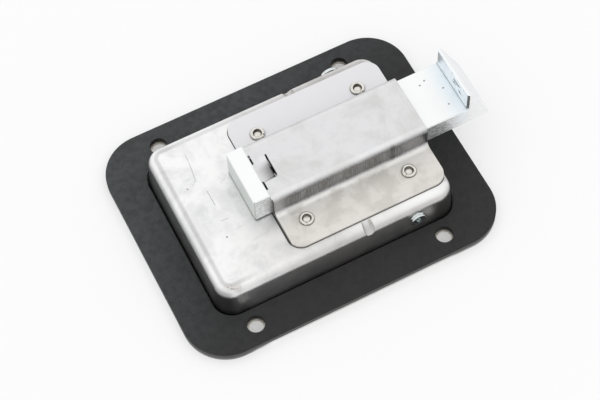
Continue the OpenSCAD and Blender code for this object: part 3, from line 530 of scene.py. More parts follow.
def cover_finish(colours, size):
    """Satin stainless of the cover. Its upright walls are painted darker as painted shade, a little more towards the
    bolt's nose and less at the tail end, and scored from the press in fine upright lines; both fade into the bends, and
    a painted shadow line darkens its tail end. A painted highlight runs along its top bends and painted contact shadows
    ring the rivets. Its feet are matt, the near one dulled by handling and painted paler beside the wall as painted
    light."""
    finish = satin_steel("cover_steel", colours.cover_steel, colours.cover_smudge, 5.0)
    x, y, height = finish.axes(finish.coords())
    low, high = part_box("bolt_cover")
    foot, top = low.z + size.sheet, high.z
    up = finish.span(height, foot + 0.3 * MM, foot + 2.0 * MM)
    down = finish.span(height, top - 1.7 * MM, top - 0.15 * MM, 1.0, 0.0)
    wall = finish.calc("MULTIPLY", up, down)
    lines = finish.noise(finish.places(scale=(1, 1, 0.05)), 0.26 * MM, detail=3.0, rough=0.7)
    patch = finish.noise(finish.places(scale=(1, 0, 0.3)), 7 * MM, detail=3.0)
    score = finish.calc("MULTIPLY", finish.span(lines, 0.36, 0.60), finish.span(patch, 0.35, 0.6, 0.45, 1.0))
    score = finish.calc("MULTIPLY", score, finish.span(x, low.x + 1.5 * MM, low.x + 7 * MM, 0.15, 1.0))
    matt = finish.span(height, foot + 0.9 * MM, foot + 0.1 * MM)
    near = finish.span(y, -11 * MM, -12 * MM)
    near_foot = finish.calc("MULTIPLY", matt, near)
    cloudy = finish.noise(finish.places(), 7 * MM, detail=4.0, rough=0.6)
    # Painted light: beside the wall the near foot is painted paler against the wall's shade; further out it keeps its
    # handling tint, clouded.
    tone = finish.blend(finish.span(y, -20 * MM, -13.5 * MM), colours.handling, (0.90, 0.88, 0.85))
    tone = finish.blend(finish.span(cloudy, 0.42, 0.62, 0.0, 0.9), tone, (0.66, 0.635, 0.59))
    finish.paint(finish.calc("MULTIPLY", near_foot, 0.95), tone)
    finish.paint(finish.calc("MULTIPLY", matt, finish.span(y, 12 * MM, 13 * MM, 0.0, 0.9)), colours.cover_far)
    finish.set(Metallic=finish.number_mix(matt, 1.0, 0.45))
    rough = finish.shader.inputs["Roughness"].links[0].from_socket
    finish.set(Roughness=finish.number_mix(matt, rough, 0.5))
    # Painted shade: the upright walls are multiplied darker, a little more towards the bolt's nose and less at the tail
    # end.
    dark = finish.blend(finish.span(x, 5 * MM, 40 * MM), (0.46, 0.46, 0.46), (0.43, 0.43, 0.43))
    dark = finish.blend(finish.span(x, low.x + 8 * MM, low.x + 1 * MM), dark, (0.60, 0.60, 0.60))
    finish.paint(wall, dark, "MULTIPLY")
    # Painted highlight: a faint light line on the top just where the top bends begin.
    edge = size.hat_width / 2 - size.top_bend
    across = finish.calc("ABSOLUTE", y)
    crest = finish.calc(
        "MULTIPLY", finish.span(across, edge - 0.5 * MM, edge), finish.span(across, edge + 0.7 * MM, edge + 0.3 * MM)
    )
    finish.paint(finish.calc("MULTIPLY", crest, finish.span(height, top - 0.8 * MM, top - 0.4 * MM, 0.0, 0.2)), (0.95, 0.95, 0.95))
    # Painted shadow: a dark line along the tail end on the near side.
    end = finish.calc("MULTIPLY", finish.span(x, low.x + 0.5 * MM, low.x + 0.2 * MM), near)
    end = finish.calc("MULTIPLY", end, finish.span(height, top - 0.15 * MM, top - 0.7 * MM, 0.0, 0.9))
    finish.paint(end, (0.05, 0.05, 0.05))
    finish.paint(finish.calc("MULTIPLY", finish.calc("MULTIPLY", wall, score), 0.9), (0.12, 0.115, 0.11))
    smear = finish.calc("MULTIPLY", finish.span(x, 29.6 * MM, 30.4 * MM), finish.span(x, 32.0 * MM, 31.4 * MM))
    smear = finish.calc("MULTIPLY", smear, finish.calc("MULTIPLY", wall, near))
    finish.paint(finish.calc("MULTIPLY", smear, 0.7), (0.10, 0.10, 0.10))
    # Painted contact shadow: a dark ring on the cover round each rivet's ring.
    for place in rivet_places():
        off = finish.vector("SUBTRACT", finish.vector("MULTIPLY", finish.coords(), (1, 1, 0)), (*place, 0))
        finish.paint(finish.span(finish.vector("LENGTH", off), 3.0 * MM, 2.7 * MM, 0.0, 0.6), (0.22, 0.21, 0.19))
    return finish.material


def paddle_finish(colours):
    """Satin stainless of the paddle and its lever."""
    return satin_steel("paddle_steel", colours.paddle_steel, colours.cover_smudge, 11.0).material


def rivet_finish(colours):
    """Rolled steel, with painted shade on the wall of the hollow and a painted contact shadow where the ring meets the
    cover.
    """
    finish = Finish("rivet_steel", {"Metallic": 1.0})
    cloudy = finish.noise(finish.places(), 0.8 * MM, detail=3.0)
    tone = finish.blend(finish.span(cloudy, 0.4, 0.7, 0.0, 0.5), colours.rivet_steel, (0.58, 0.55, 0.49))
    # Painted shade: the hollow mark darkens the hollow's wall, the edge of its floor and the ring's foot at the cover.
    finish.set(Base_Color=finish.blend(finish.mark("hollow"), tone, (0.09, 0.08, 0.07)))
    finish.set(Roughness=finish.span(cloudy, 0.3, 0.7, 0.18, 0.34))
    finish.set(Normal=finish.bump(cloudy, 0.02 * MM, 0.4))
    return finish.material


def zinc_finish(colours):
    """Bright zinc plating with a blue cast by the nose: pale tops with a few pits, sawn sides whose speckle fades along
    the bolt as a painted reflection, more pits on the nose's wall, painted shade lines at its foot, on its bevels and
    under the block, and painted shade on the block's tail side and near corner."""
    finish = Finish("zinc_plate", {"Metallic": 0.8})
    x, y, height = finish.axes(finish.coords())
    face_x, face_y, face_z = finish.axes(finish.coords("Normal"))
    low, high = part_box("slide_bolt")
    wall_x = high.x - NOSE_LENGTH
    top = low.z + BOLT_HEIGHT
    broad = finish.noise(finish.places(), 16 * MM, detail=3.0, rough=0.6)
    by_nose = finish.calc(
        "MULTIPLY", finish.span(x, wall_x - 8 * MM, wall_x), finish.span(x, wall_x + 0.6 * MM, wall_x + 0.1 * MM)
    )
    cast = finish.calc("MULTIPLY", by_nose, finish.span(broad, 0.2, 0.55))
    tone = finish.blend(cast, colours.zinc, colours.zinc_blue)
    across = finish.calc("ABSOLUTE", face_y)
    side = finish.span(across, 0.6, 0.9)
    ramp = finish.calc("MULTIPLY", finish.span(x, wall_x + 0.3 * MM, wall_x + 1.2 * MM), finish.calc("SUBTRACT", 1.0, side))
    tone = finish.blend(finish.calc("MULTIPLY", ramp, finish.span(broad, 0.3, 0.6, 0.5, 1.0)), tone, (0.86, 0.87, 0.88))
    speckle = finish.noise(finish.places(scale=(0.35, 1, 1)), 0.55 * MM, detail=4.0, rough=0.75)
    # Partly painted reflection: the sawn speckle is darkest along the bolt's middle, weaker by the block and faint at
    # the nose.
    fade = finish.span(x, wall_x + 4 * MM, wall_x - 15 * MM, 0.14, 1.0)
    fade = finish.calc("MULTIPLY", fade, finish.span(x, -14 * MM, -10 * MM, 0.65, 1.0))
    sawn = finish.calc("MULTIPLY", finish.calc("MULTIPLY", side, fade), finish.span(speckle, 0.42, 0.60, 0.15, 0.9))
    tone = finish.blend(sawn, tone, (0.34, 0.35, 0.36))
    # Painted shade: faces on the block turned towards the tail are painted a darker greenish grey.
    tail = finish.span(face_x, -0.7, -0.95)
    on_block = finish.span(x, -10 * MM, -14 * MM)
    tone = finish.blend(finish.calc("MULTIPLY", tail, on_block), tone, (0.70, 0.74, 0.72))
    # Painted shade: dark lines along the block's foot and at its near tail corner.
    foot = finish.calc("MULTIPLY", finish.span(height, low.z + 0.75 * MM, low.z + 0.2 * MM), on_block)
    corner = finish.vector("SUBTRACT", finish.vector("MULTIPLY", finish.coords(), (1, 1, 0)), (low.x, low.y, 0))
    corner = finish.calc("MULTIPLY", finish.span(finish.vector("LENGTH", corner), 0.5 * MM, 0.2 * MM), 0.6)
    edges = finish.calc("MAXIMUM", finish.calc("MULTIPLY", foot, 0.8), corner)
    tone = finish.blend(edges, tone, (0.07, 0.08, 0.08))
    dots = specks(finish, 0.30 * MM, 5 * MM, 0.16, 4.0)
    for place in BOLT_PITS:
        dots = finish.calc("MAXIMUM", dots, finish.stroke(place, (place[0] + 0.2, place[1]), 0.42))
    at_wall = finish.span(x, wall_x - 1 * MM, wall_x - 0.5 * MM)
    on_wall = finish.calc("MULTIPLY", tail, at_wall)
    pits = finish.span(finish.noise(finish.places(scale=(1, 0.6, 1.4)), 2.2 * MM, detail=5.0, rough=0.7), 0.56, 0.61)
    pits = finish.calc("MULTIPLY", pits, finish.span(y, 4 * MM, -3 * MM, 0.2, 1.0))
    dots = finish.calc("MAXIMUM", dots, finish.calc("MULTIPLY", on_wall, pits))
    # Painted shade: a dark line at the foot of the nose wall and dark bevels beside it; the pits are real.
    line = finish.calc("MULTIPLY", on_wall, finish.span(height, top + 0.6 * MM, top + 0.25 * MM))
    painted_light_slant = finish.calc("MULTIPLY", finish.span(face_x, -0.5, -0.65), finish.span(across, 0.5, 0.65))
    painted_light_slant = finish.calc("MULTIPLY", painted_light_slant, at_wall)
    dark = finish.calc("MAXIMUM", finish.calc("MAXIMUM", dots, line), painted_light_slant)
    finish.set(Base_Color=finish.blend(finish.calc("MULTIPLY", dark, 0.8), tone, (0.10, 0.11, 0.11)))
    finish.set(Roughness=finish.span(broad, 0.3, 0.7, 0.40, 0.52))
    relief = finish.bump(speckle, 0.008 * MM, 0.2)
    finish.set(Normal=finish.bump(dots, 0.05 * MM, 0.6, relief))
    return finish.material


def pin_finish(colours):
    """Bright zinc plating of the pin, with faint clouds."""
    finish = Finish("pin_zinc", {"Metallic": 1.0})
    cloudy = finish.noise(finish.places(), 1.2 * MM, detail=3.0)
    finish.set(Base_Color=finish.blend(finish.span(cloudy, 0.4, 0.7, 0.0, 0.5), colours.pin_zinc, (0.55, 0.60, 0.60)))
    finish.set(Roughness=finish.span(cloudy, 0.3, 0.7, 0.10, 0.20))
    finish.set(Normal=finish.bump(cloudy, 0.01 * MM, 0.4))
    return finish.material


def wire_finish(colours):
    """Drawn spring wire, with fine dark drawing marks."""
    finish = Finish("spring_wire", {"Metallic": 1.0})
    marks = finish.noise(finish.places(scale=(1, 0.3, 0.3)), 0.3 * MM, detail=3.0)
    finish.set(Base_Color=finish.blend(finish.span(marks, 0.4, 0.7, 0.0, 0.6), colours.wire, (0.22, 0.22, 0.23)))
    finish.set(Roughness=finish.span(marks, 0.3, 0.7, 0.22, 0.36))
    finish.set(Normal=finish.bump(marks, 0.01 * MM, 0.5))
    return finish.material


def rubber_finish(colours):
    """Matt black sheet rubber: a painted sheen, paler towards the bolt's tail and the far side, fine grain, dust,
    greyer cut edges outside and painted shade on the cut walls in the holes."""
    finish = Finish("gasket_rubber", {"Specular_IOR_Level": 0.35})
    x, y, height = finish.axes(finish.coords())
    sheen = finish.noise(finish.places(), 30 * MM, detail=3.0)
    grain = finish.noise(finish.places(), 0.35 * MM, detail=3.0, rough=0.6)
    # Painted sheen: paler rubber along a slant towards the bolt's tail and the far side, broken up by noise.
    painted_light_slant = finish.calc("SUBTRACT", y, finish.calc("MULTIPLY", x, 0.7))
    patch = finish.calc("MULTIPLY", finish.span(painted_light_slant, -30 * MM, 60 * MM), finish.span(sheen, 0.25, 0.6, 0.7, 1.0))
    face = finish.blend(patch, colours.rubber, colours.rubber_painted_sheen)
    mottle = finish.noise(finish.places(), 2.5 * MM, detail=4.0, rough=0.65)
    face = finish.blend(finish.span(mottle, 0.4, 0.65, 0.0, 0.35), face, (0.012, 0.012, 0.012))
    edge = finish.span(finish.calc("ABSOLUTE", finish.axes(finish.coords("Normal"))[2]), 0.4, 0.8, 1.0, 0.0)
    # Painted shade: the cut walls in the holes are painted near black.
    hole = finish.vector("SUBTRACT", finish.vector("ABSOLUTE", finish.coords()), (HOLE_X, HOLE_Y, 0))
    hole_wall_shade = finish.span(finish.vector("LENGTH", finish.vector("MULTIPLY", hole, (1, 1, 0))), 3.7 * MM, 3.4 * MM)
    cut = finish.blend(edge, face, finish.blend(hole_wall_shade, colours.rubber_cut, (0.010, 0.010, 0.010)))
    dust = specks(finish, 0.22 * MM, 9 * MM, 0.10, 7.0)
    finish.set(Base_Color=finish.blend(finish.calc("MULTIPLY", dust, 0.6), cut, (0.5, 0.5, 0.5)))
    finish.set(Roughness=finish.span(grain, 0.3, 0.7, 0.62, 0.78))
    finish.set(Normal=finish.bump(grain, 0.03 * MM, 0.4))
    return finish.material


def cover_section(size, half_width, foot_z, hat_z, rivet_y):
    """Outer line of the cover's section as points (y, z), from the near foot's edge over the hat to the far one:
    straight stretches joined by a concave quarter circle at each foot and a convex one at each top edge. Two points
    on each foot stand beside the rivets."""
    hat = size.hat_width / 2
    foot, top = size.foot_bend, size.top_bend
    louver = size.louver_width / 2
    notch = louver - size.relief_lap
    relief = notch + size.relief_width
    crown_y = np.concatenate([
        np.linspace(0, 0.5 * louver, 8)[:-1], np.linspace(0.5 * louver, notch, 14)[:-1],
        np.linspace(notch, louver, 7)[:-1],
        np.linspace(louver, relief, 9)[:-1], np.linspace(relief, hat - top, 4)[:-1],
    ])
    crown = np.stack([crown_y, np.full_like(crown_y, hat_z)], -1)
    wall_z = np.linspace(hat_z - top, foot_z + foot, 8)[1:-1]
    wall = np.stack([np.full_like(wall_z, hat), wall_z], -1)
    cut = size.rivet_cut
    inner_y = np.concatenate([
        np.linspace(hat + foot, rivet_y - cut, 6)[1:-1], np.linspace(rivet_y - cut, rivet_y + cut, 4)[:-1],
        np.linspace(rivet_y + cut, half_width - size.corner, 4),
    ])
    corner_y = half_width - size.corner + size.corner * np.sin(np.linspace(0, math.pi / 2, 14))[1:]
    foot_y = np.concatenate([inner_y, corner_y])
    half = np.concatenate([
        crown,
        arc((hat - top, hat_z - top), top, 90, 0, 12),
        wall,
        arc((hat + foot, foot_z + foot), foot, 180, 270, 9),
        np.stack([foot_y, np.full_like(foot_y, foot_z)], -1),
    ])
    return np.concatenate([half[:0:-1] * (-1, 1), half])


def cover_shape(size):
    """The cover's outer surface and its faces: the section carried along X, with each column shortened by the
    rounded corners of the feet. The louver sinks the points before the slit by a depth that grows towards it,
    times a soft step across its near fold and one across its far slope. Faces in the slit, in the relief notches and
    under the rivets' rings are left out."""
    low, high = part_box("bolt_cover")
    rivets = rivet_places()
    cut = size.rivet_cut
    section = cover_section(size, high.y, low.z + size.sheet, high.z, np.abs(rivets[:, 1]).max())
    y, z = section.T
    slit = low.x + size.louver_length
    x = np.concatenate([
        np.linspace(low.x, low.x + size.relief_length, 3)[:-1],
        np.linspace(low.x + size.relief_length, slit, 12),
        np.linspace(slit + size.slit, high.x, 40),
        rivets[:, 0] - cut, rivets[:, 0] + cut,
    ])
    x = np.unique(x.round(7))
    past = np.clip(np.abs(y) - (high.y - size.corner), 0, size.corner)
    cut_back = size.corner - np.sqrt(size.corner**2 - past**2)
    along = (x - low.x) / (high.x - low.x)
    across_x = low.x + cut_back + along[:, None] * (high.x - low.x - 2 * cut_back)
    run = np.clip((x - low.x) / size.louver_length, 0, 1)
    depth = np.where(x <= slit + 1e-9, size.louver_end + (size.louver_depth - size.louver_end) * run, 0)
    near_side = np.maximum(size.louver_near * depth / size.louver_depth, 0.3 * MM)
    near = np.clip((size.louver_width / 2 + y) / near_side[:, None], 0, 1)
    far_y = size.louver_width / 2 + size.louver_reach
    far = np.clip((far_y - y) / (size.louver_far + size.louver_reach), 0, 1)
    sink = near**2 * (3 - 2 * near) * far**2 * (3 - 2 * far) * (z > high.z - 1e-9)
    points = np.stack(np.broadcast_arrays(across_x, y, z - depth[:, None] * sink), -1)
    row_x, mid_y = (x[1:] + x[:-1]) / 2, (y[1:] + y[:-1]) / 2
    col_y = np.abs(mid_y)
    col_z = (z[1:] + z[:-1]) / 2
    on_top = (col_z > high.z - 1e-9)[None]
    louver = size.louver_width / 2
    in_slit = ((row_x > slit) & (row_x < slit + size.slit))[:, None] & (
        (mid_y > size.slit_near - louver) & (mid_y < far_y - size.slit_far)
    )[None]
    notch = louver - size.relief_lap
    in_relief = (row_x < low.x + size.relief_length)[:, None] & (
        (col_y > notch) & (col_y < notch + size.relief_width)
    )[None]
    off_rivet = np.maximum(
        np.abs(row_x[:, None, None] - rivets[:, 0]), np.abs(mid_y[None, :, None] - rivets[:, 1])
    ).min(-1)
    faces = quads(*points.shape[:2])[~((in_slit | in_relief) & on_top | (off_rivet < cut))]
    return points, faces


def lathe(profile, steps):
    """A turned shape: each profile point (radius, height) carried round the Z axis, as a grid of angle by profile."""
    turn = np.linspace(0, 2 * math.pi, steps, endpoint=False)[:, None]
    radius, height = profile[None, :, 0], profile[None, :, 1]
    return np.stack(np.broadcast_arrays(radius * np.cos(turn), radius * np.sin(turn), height), -1)


def rivet_places():
    """Places (x, y) of the four rivets, from the outermost edges of their heads."""
    low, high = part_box("cover_rivets")
    inset = bpy.context.scene.latch_rivets.head / 2
    return np.array([(x, y) for x in (low.x + inset, high.x - inset) for y in (low.y + inset, high.y - inset)])


def rivet_shape(size, foot_z, base_z, crest_z, split_at, phase):
    """One semi-tubular rivet on the Z axis: head, shank, rolled ring and hollow in one turned profile. The ring is
    left a little out of round by three shallow waves, and its crest dips in a bell-shaped split at one angle."""
    ring_r = (size.ring - size.bore) / 4
    ring_x, ring_z = size.bore / 2 + ring_r, crest_z - ring_r
    head, shank = size.head / 2, size.shank / 2
    head_top = base_z + size.head_height
    dome = arc((head - 0.5 * MM, base_z + 0.5 * MM), 0.5 * MM, 270, 360, 6)
    below = np.concatenate([
        [(0, base_z)], dome, [(head, head_top), (shank, head_top), (shank, foot_z), (ring_x + 0.8 * ring_r, foot_z)],
    ])
    roll = arc((ring_x, ring_z), ring_r, -20, 180, 22)
    floor_z = crest_z - size.bore_depth
    inside = np.stack([np.full(8, size.bore / 2), np.linspace(ring_z, floor_z + 0.2 * MM, 8)], -1)
    bottom = np.array([(0.87, 0.0), (0.80, 0.02), (0.76, 0.03), (0.3, 0.08), (0, 0.1)])
    bottom = np.stack([bottom[:, 0] * size.bore / 2, floor_z + bottom[:, 1] * MM], -1)
    profile = np.concatenate([below, roll, inside, bottom])
    points = lathe(profile, 96)
    turn = np.arctan2(points[..., 1], points[..., 0])
    turn[:, profile[:, 0] == 0] = 0
    rolled = np.zeros(len(profile))
    rolled[len(below):len(below) + len(roll)] = np.sin(np.linspace(0.2, math.pi, len(roll)))
    off = (turn - split_at + math.pi) % (2 * math.pi) - math.pi
    dip = size.split * np.exp(-(off / size.split_angle) ** 2)
    points[..., 2] -= rolled * (dip + size.wobble * (1 + np.cos(2 * turn + phase)) / 2)
    swell = 1 - rolled * size.wobble / size.ring * (1 + np.cos(3 * turn + phase))
    points[..., :2] *= swell[..., None]
    # Marks for painted shade: the ring's foot where it meets the cover, the hollow's wall and the edge of its floor.
    hollow = np.zeros(len(profile))
    hollow[len(below) - 1:len(below) + 4] = (1.0, 1.0, 0.8, 0.4, 0.1)
    hollow[len(below) + len(roll) - 4:-5] = 0.85
    hollow[-5:] = (0.85, 0.7, 0.1, 0.0, 0.0)
    return points, np.broadcast_to(hollow, points.shape[:2])


def tube(path, axis, radius, sides=14):
    """A wire: a circle carried along a path whose turns lie about one axis. Its ends are cut square, with a small
    chamfer, by rings of smaller radius that close on the path's end points."""
    tangent = np.gradient(path, axis=0)
    tangent /= np.linalg.norm(tangent, axis=1, keepdims=True)
    chamfer = 0.2 * radius
    centre = np.concatenate([
        path[[0, 0]], path[:1] + chamfer * tangent[:1], path[1:-1], path[-1:] - chamfer * tangent[-1:], path[[-1, -1]],
    ])
    tangent = np.concatenate([tangent[[0, 0]], tangent, tangent[[-1, -1]]])
    reach = np.concatenate([[0, 0.8], np.ones(len(path)), [0.8, 0]]) * radius
    side = np.cross(tangent, axis)
    side /= np.linalg.norm(side, axis=1, keepdims=True)
    up = np.cross(side, tangent)
    turn = np.linspace(0, 2 * math.pi, sides, endpoint=False)[None, :, None]
    ring = np.cos(turn) * side[:, None] + np.sin(turn) * up[:, None]
    return centre[:, None] + reach[:, None, None] * ring


def bolt_spring_path(size, node):
    """Middle line of a compression spring inside a node's box: a helix along X whose first and last turn close up."""
    low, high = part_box(node)
    wire, turns = size.bolt_wire, size.bolt_turns
    radius = (high.y - low.y - wire) / 2
    turn = np.linspace(0, turns, 40 * turns + 1)
    close = size.close_pitch * wire
    coils = high.x - low.x - wire
    place = np.interp(turn, [0, 1, turns - 1, turns], [0, close, coils - close, coils])
    return np.stack([
        low.x + wire / 2 + place,
        (low.y + high.y) / 2 + radius * np.cos(2 * math.pi * turn),
        (low.z + high.z) / 2 + radius * np.sin(2 * math.pi * turn),
    ], -1)


def paddle_spring_path(size):
    """Middle line of the paddle spring: a helix about the pivot with a straight leg down to the paddle at its first
    end and one up to the pan at its last. The legs run on along the coil's tangents to the node's box."""
    low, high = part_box("paddle_spring")
    radius, wire = size.paddle_coil / 2, size.paddle_wire
    first, last = size.paddle_leg, size.pan_leg
    turn = np.linspace(first, 2 * math.pi * size.paddle_turns + last, 40 * size.paddle_turns)
    y0 = low.y + wire / 2
    y = y0 + size.close_pitch * wire * (turn - first) / (2 * math.pi)
    coil = np.stack([PIVOT[0] + radius * np.cos(turn), y, PIVOT[2] + radius * np.sin(turn)], -1)
    down = (coil[0, 2] - low.z - wire / 2) / math.cos(first)
    rise = (high.z - wire / 2 - coil[-1, 2]) / math.cos(last)
    leg_down = coil[:1] - np.linspace(down, 0, 12)[:-1, None] * (-math.sin(first), 0, math.cos(first))
    leg_up = coil[-1:] + np.linspace(0, rise, 12)[1:, None] * (-math.sin(last), 0, math.cos(last))
    return np.concatenate([leg_down, coil, leg_up])


def pin_shape(size):
    """The pivot pin, turned about Y: a chamfered head at the far wall, the shaft, and at the near wall a flared end
    of two round rims with a groove between them and a hollow."""
    low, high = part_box("pivot_pin")
    far, near = -high.y, -low.y
    wall_far, wall_near = far + size.head_height, near - size.flare_length
    shaft, head, flare = size.shaft / 2, size.head / 2, size.flare / 2
    rim = (size.flare_length - size.groove) / 4
    hollow = size.hollow / 2
    edge = 0.4 * MM
    head_edge = arc((head - edge, far + edge), edge, 270, 360, 8)
    first = arc((flare - rim, wall_near + rim), rim, -90, 90, 12)
    second = arc((flare - rim, near - rim), rim, -90, 110, 14)
    profile = np.concatenate([
        [(0, far + 0.1 * MM), (head - 2 * edge, far)], head_edge, [(head, wall_far), (shaft, wall_far)],
        np.stack([np.full(6, shaft), np.linspace(wall_far, wall_near, 6)], -1), first,
        [(flare - rim - 0.5 * size.groove, wall_near + 2 * rim + 0.5 * size.groove)], second,
        [(hollow, near - 1.2 * rim), (hollow, near - size.hollow_depth), (0, near - size.hollow_depth - 0.5 * MM)],
    ])
    x, y, z = np.moveaxis(lathe(profile, 64), -1, 0)
    return np.stack([PIVOT[0] + x, -z, PIVOT[2] + y], -1)


class LATCH_OT_sheet_metal(bpy.types.Operator):
    """Finish the pan, the paddle and its lever"""

    bl_idname = "latch.sheet_metal"
    bl_label = "Pan and paddle"

    def execute(self, context):
        colours = context.scene.latch_finishes
        dress("pan", pan_finish(colours))
        steel = paddle_finish(colours)
        dress("paddle", steel)
        dress("pull_lever", steel)
        return {"FINISHED"}


class LATCH_OT_gasket(bpy.types.Operator):
    """Finish the rubber gasket"""

    bl_idname = "latch.gasket"
    bl_label = "Gasket"

    def execute(self, context):
        dress("gasket", rubber_finish(context.scene.latch_finishes))
        return {"FINISHED"}


class LATCH_OT_cover(bpy.types.Operator):
    """Press the bolt cover with its louver"""

    bl_idname = "latch.cover"
    bl_label = "Bolt cover"

    def execute(self, context):
        size = context.scene.latch_cover
        steel = cover_finish(context.scene.latch_finishes, size)
        points, faces = cover_shape(size)
        cover = new_piece("pressed_cover", points, faces, steel)
        settle(cover, size.sheet, size.edge_break)
        stand_for(cover, "bolt_cover", "housing")
        return {"FINISHED"}


class LATCH_OT_rivets(bpy.types.Operator):
    """Roll the four rivets of the cover"""

    bl_idname = "latch.rivets"
    bl_label = "Cover rivets"

    def execute(self, context):
        size = context.scene.latch_rivets
        low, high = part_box("cover_rivets")
        steel = rivet_finish(context.scene.latch_finishes)
        shapes, hollows = [], []
        for x, y in rivet_places():
            phase = 40 * x / MM + y / MM
            split_at = math.radians(75) + 0.2 * phase
            points, hollow = rivet_shape(size, high.z - size.ring_height, low.z, high.z, split_at, phase)
            shapes.append(points + (x, y, 0))
            hollows.append(hollow)
        rows, cols = shapes[0].shape[:2]
        faces = np.concatenate([
            quads(rows, cols, wrap_rows=True).reshape(-1, 4) + i * rows * cols for i in range(len(shapes))
        ])
        rivets = new_piece("rolled_rivets", np.stack(shapes), faces, steel, {"hollow": np.stack(hollows)})
        settle(rivets)
        stand_for(rivets, "cover_rivets", "housing")
        return {"FINISHED"}


class LATCH_OT_bolt(bpy.types.Operator):
    """Finish the slide bolt and turn the pivot pin"""

    bl_idname = "latch.bolt"
    bl_label = "Slide bolt and pin"

    def execute(self, context):
        zinc = zinc_finish(context.scene.latch_finishes)
        dress("slide_bolt", zinc)
        points = pin_shape(context.scene.latch_pin)
        steel = pin_finish(context.scene.latch_finishes)
        pin = new_piece("turned_pin", points, quads(*points.shape[:2], wrap_rows=True), steel)
        settle(pin)
        stand_for(pin, "pivot_pin", "housing")
        return {"FINISHED"}


class LATCH_OT_springs(bpy.types.Operator):
    """Wind the bolt springs and the paddle spring"""

    bl_idname = "latch.springs"
    bl_label = "Springs"

    def execute(self, context):
        size = context.scene.latch_springs
        steel = wire_finish(context.scene.latch_finishes)
        for node in ("bolt_spring_near", "bolt_spring_far"):
            points = tube(bolt_spring_path(size, node), (1, 0, 0), size.bolt_wire / 2)
            spring = new_piece(f"wound_{node}", points, quads(*points.shape[:2], wrap_cols=True), steel)
            settle(spring)
            stand_for(spring, node, "housing")
            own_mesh(spring)
        points = tube(paddle_spring_path(size), (0, 1, 0), size.paddle_wire / 2)
        spring = new_piece("wound_paddle_spring", points, quads(*points.shape[:2], wrap_cols=True), steel)
        settle(spring)
        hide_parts("paddle_spring")
        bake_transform(spring)
        return {"FINISHED"}


def camera_frame(studio):
    """Right, up and back directions of the camera: azimuth 0 looks along +Y, and the roll turns right towards up."""
    a, e, r = studio.azimuth, studio.elevation, studio.roll
    back = Vector((math.sin(a) * math.cos(e), -math.cos(a) * math.cos(e), math.sin(e)))
    right = Vector((math.cos(a), math.sin(a), 0))
    up = back.cross(right)
    return math.cos(r) * right + math.sin(r) * up, math.cos(r) * up - math.sin(r) * right, back


def add_camera(studio):
    """The camera, at the photograph's viewing angle."""
    right, up, back = camera_frame(studio)
    data = bpy.data.cameras.new("camera")
    data.sensor_width = 36
    data.lens = studio.lens / MM
    camera = bpy.data.objects.new("camera", data)
    turn = Matrix((right, up, back)).transposed().to_4x4()
    place = studio.aim_right * right + studio.aim_up * up + studio.distance * back
    camera.matrix_world = Matrix.Translation(place) @ turn
    bpy.context.scene.collection.objects.link(camera)
    bpy.context.scene.camera = camera


def add_key_light(studio):
    """One large soft light in the ceiling, above the latch."""
    data = bpy.data.lights.new("key", "AREA")
    data.shape = "SQUARE"
    data.size = studio.key_size
    data.energy = studio.key_power
    key = bpy.data.objects.new("key", data)
    place = Vector(KEY_WAY)
    key.matrix_world = Matrix.Translation(place) @ place.to_track_quat("Z", "Y").to_matrix().to_4x4()
    key.visible_camera = False
    bpy.context.scene.collection.objects.link(key)


def add_world(studio):
    """A white studio: a soft ceiling light that falls off a little towards the horizon. Seen directly, it is plain
    white."""
    world = bpy.data.worlds.new("studio")
    bpy.context.scene.world = world
    sky = NodeTree(world)
    height = sky.axes(sky.add("ShaderNodeTexCoord", {}).outputs["Generated"])[2]
    soft = sky.calc("MULTIPLY", sky.span(height, 0.0, 0.75, studio.horizon, 1.0), studio.sky)
    direct = sky.add("ShaderNodeLightPath", {}).outputs["Is Camera Ray"]
    background = sky.tree.nodes["Background"]
    sky.feed(background.inputs["Color"], (1, 1, 1))
    sky.feed(background.inputs["Strength"], sky.number_mix(direct, soft, 1.0))


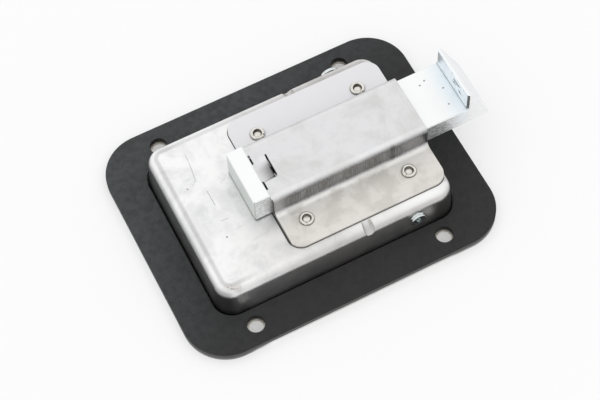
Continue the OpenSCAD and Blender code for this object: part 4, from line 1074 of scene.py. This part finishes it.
def add_floor(studio):
    """A pale floor that keeps soft shadows: plain diffuse for light that bounces and under the latch, and lifted
    towards white where it is seen directly or in a reflection. From below it lets the view and the light through."""
    material = bpy.data.materials.new("floor")
    look = NodeTree(material)
    look.tree.nodes.clear()
    path = look.add("ShaderNodeLightPath", {}).outputs
    seen = look.calc("MAXIMUM", look.calc("MAXIMUM", path["Is Camera Ray"], path["Is Glossy Ray"]),
                     path["Is Transmission Ray"])
    low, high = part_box("gasket")
    clear = look.span(look.edge_distance((0, 0, 0), high.x, high.y, 18 * MM), -2 * MM, 0.0, 0.2, 1.0)
    lift = look.calc("MULTIPLY", look.calc("MULTIPLY", seen, clear), studio.floor_lift)
    diffuse = look.add("ShaderNodeBsdfDiffuse", {"Color": studio.floor_tone}).outputs[0]
    white = look.add("ShaderNodeEmission", {"Strength": 1.0}).outputs[0]
    lifted = look.add("ShaderNodeMixShader", {0: lift, 1: diffuse, 2: white}).outputs[0]
    backside = look.add("ShaderNodeNewGeometry", {}).outputs["Backfacing"]
    from_below = look.calc("MAXIMUM", backside, look.calc("GREATER_THAN", path["Transparent Depth"], 0.5))
    clear_view = look.add("ShaderNodeBsdfTransparent", {}).outputs[0]
    both = look.add("ShaderNodeMixShader", {0: from_below, 1: lifted, 2: clear_view}).outputs[0]
    look.add("ShaderNodeOutputMaterial", {0: both})
    mesh = bpy.data.meshes.new("floor")
    reach = 6.0
    corners = [(-reach, -reach, 0), (reach, -reach, 0), (reach, reach, 0), (-reach, reach, 0)]
    mesh.from_pydata(corners, [], [(0, 1, 2, 3)])
    mesh.materials.append(material)
    floor = bpy.data.objects.new("floor", mesh)
    bpy.context.scene.collection.objects.link(floor)


class LATCH_OT_stage(bpy.types.Operator):
    """Set up the camera, the light, the white studio and the floor"""

    bl_idname = "latch.stage"
    bl_label = "Stage"

    def execute(self, context):
        studio = context.scene.latch_studio
        context.scene.view_settings.view_transform = "Standard"
        add_camera(studio)
        add_key_light(studio)
        add_world(studio)
        add_floor(studio)
        return {"FINISHED"}


OPERATORS = (
    LATCH_OT_sheet_metal, LATCH_OT_gasket, LATCH_OT_cover, LATCH_OT_rivets, LATCH_OT_bolt, LATCH_OT_springs,
    LATCH_OT_stage,
)
SETTINGS = {
    "latch_cover": CoverSizes, "latch_rivets": RivetSizes, "latch_springs": SpringSizes, "latch_pin": PinSizes,
    "latch_finishes": Finishes, "latch_studio": Studio,
}


class LATCH_PT_panel(bpy.types.Panel):
    """Sidebar panel with the latch's pieces and settings"""

    bl_idname = "LATCH_PT_panel"
    bl_label = "Paddle latch"
    bl_space_type = "VIEW_3D"
    bl_region_type = "UI"
    bl_category = "Latch"

    def draw(self, context):
        for operator in OPERATORS:
            self.layout.operator(operator.bl_idname)
        for name, group in SETTINGS.items():
            box = self.layout.box()
            for prop in group.__annotations__:
                box.prop(getattr(context.scene, name), prop)


def register():
    for group in (*SETTINGS.values(), *OPERATORS, LATCH_PT_panel):
        bpy.utils.register_class(group)
    for name, group in SETTINGS.items():
        setattr(bpy.types.Scene, name, bpy.props.PointerProperty(type=group))


def unregister():
    for name in SETTINGS:
        delattr(bpy.types.Scene, name)
    for group in (LATCH_PT_panel, *reversed(OPERATORS), *reversed(SETTINGS.values())):
        bpy.utils.unregister_class(group)


def main():
    """Builds every piece and the stage."""
    register()
    bpy.ops.latch.sheet_metal()
    bpy.ops.latch.gasket()
    bpy.ops.latch.cover()
    bpy.ops.latch.rivets()
    bpy.ops.latch.bolt()
    bpy.ops.latch.springs()
    bpy.ops.latch.stage()


if __name__ == "__main__":
    main()
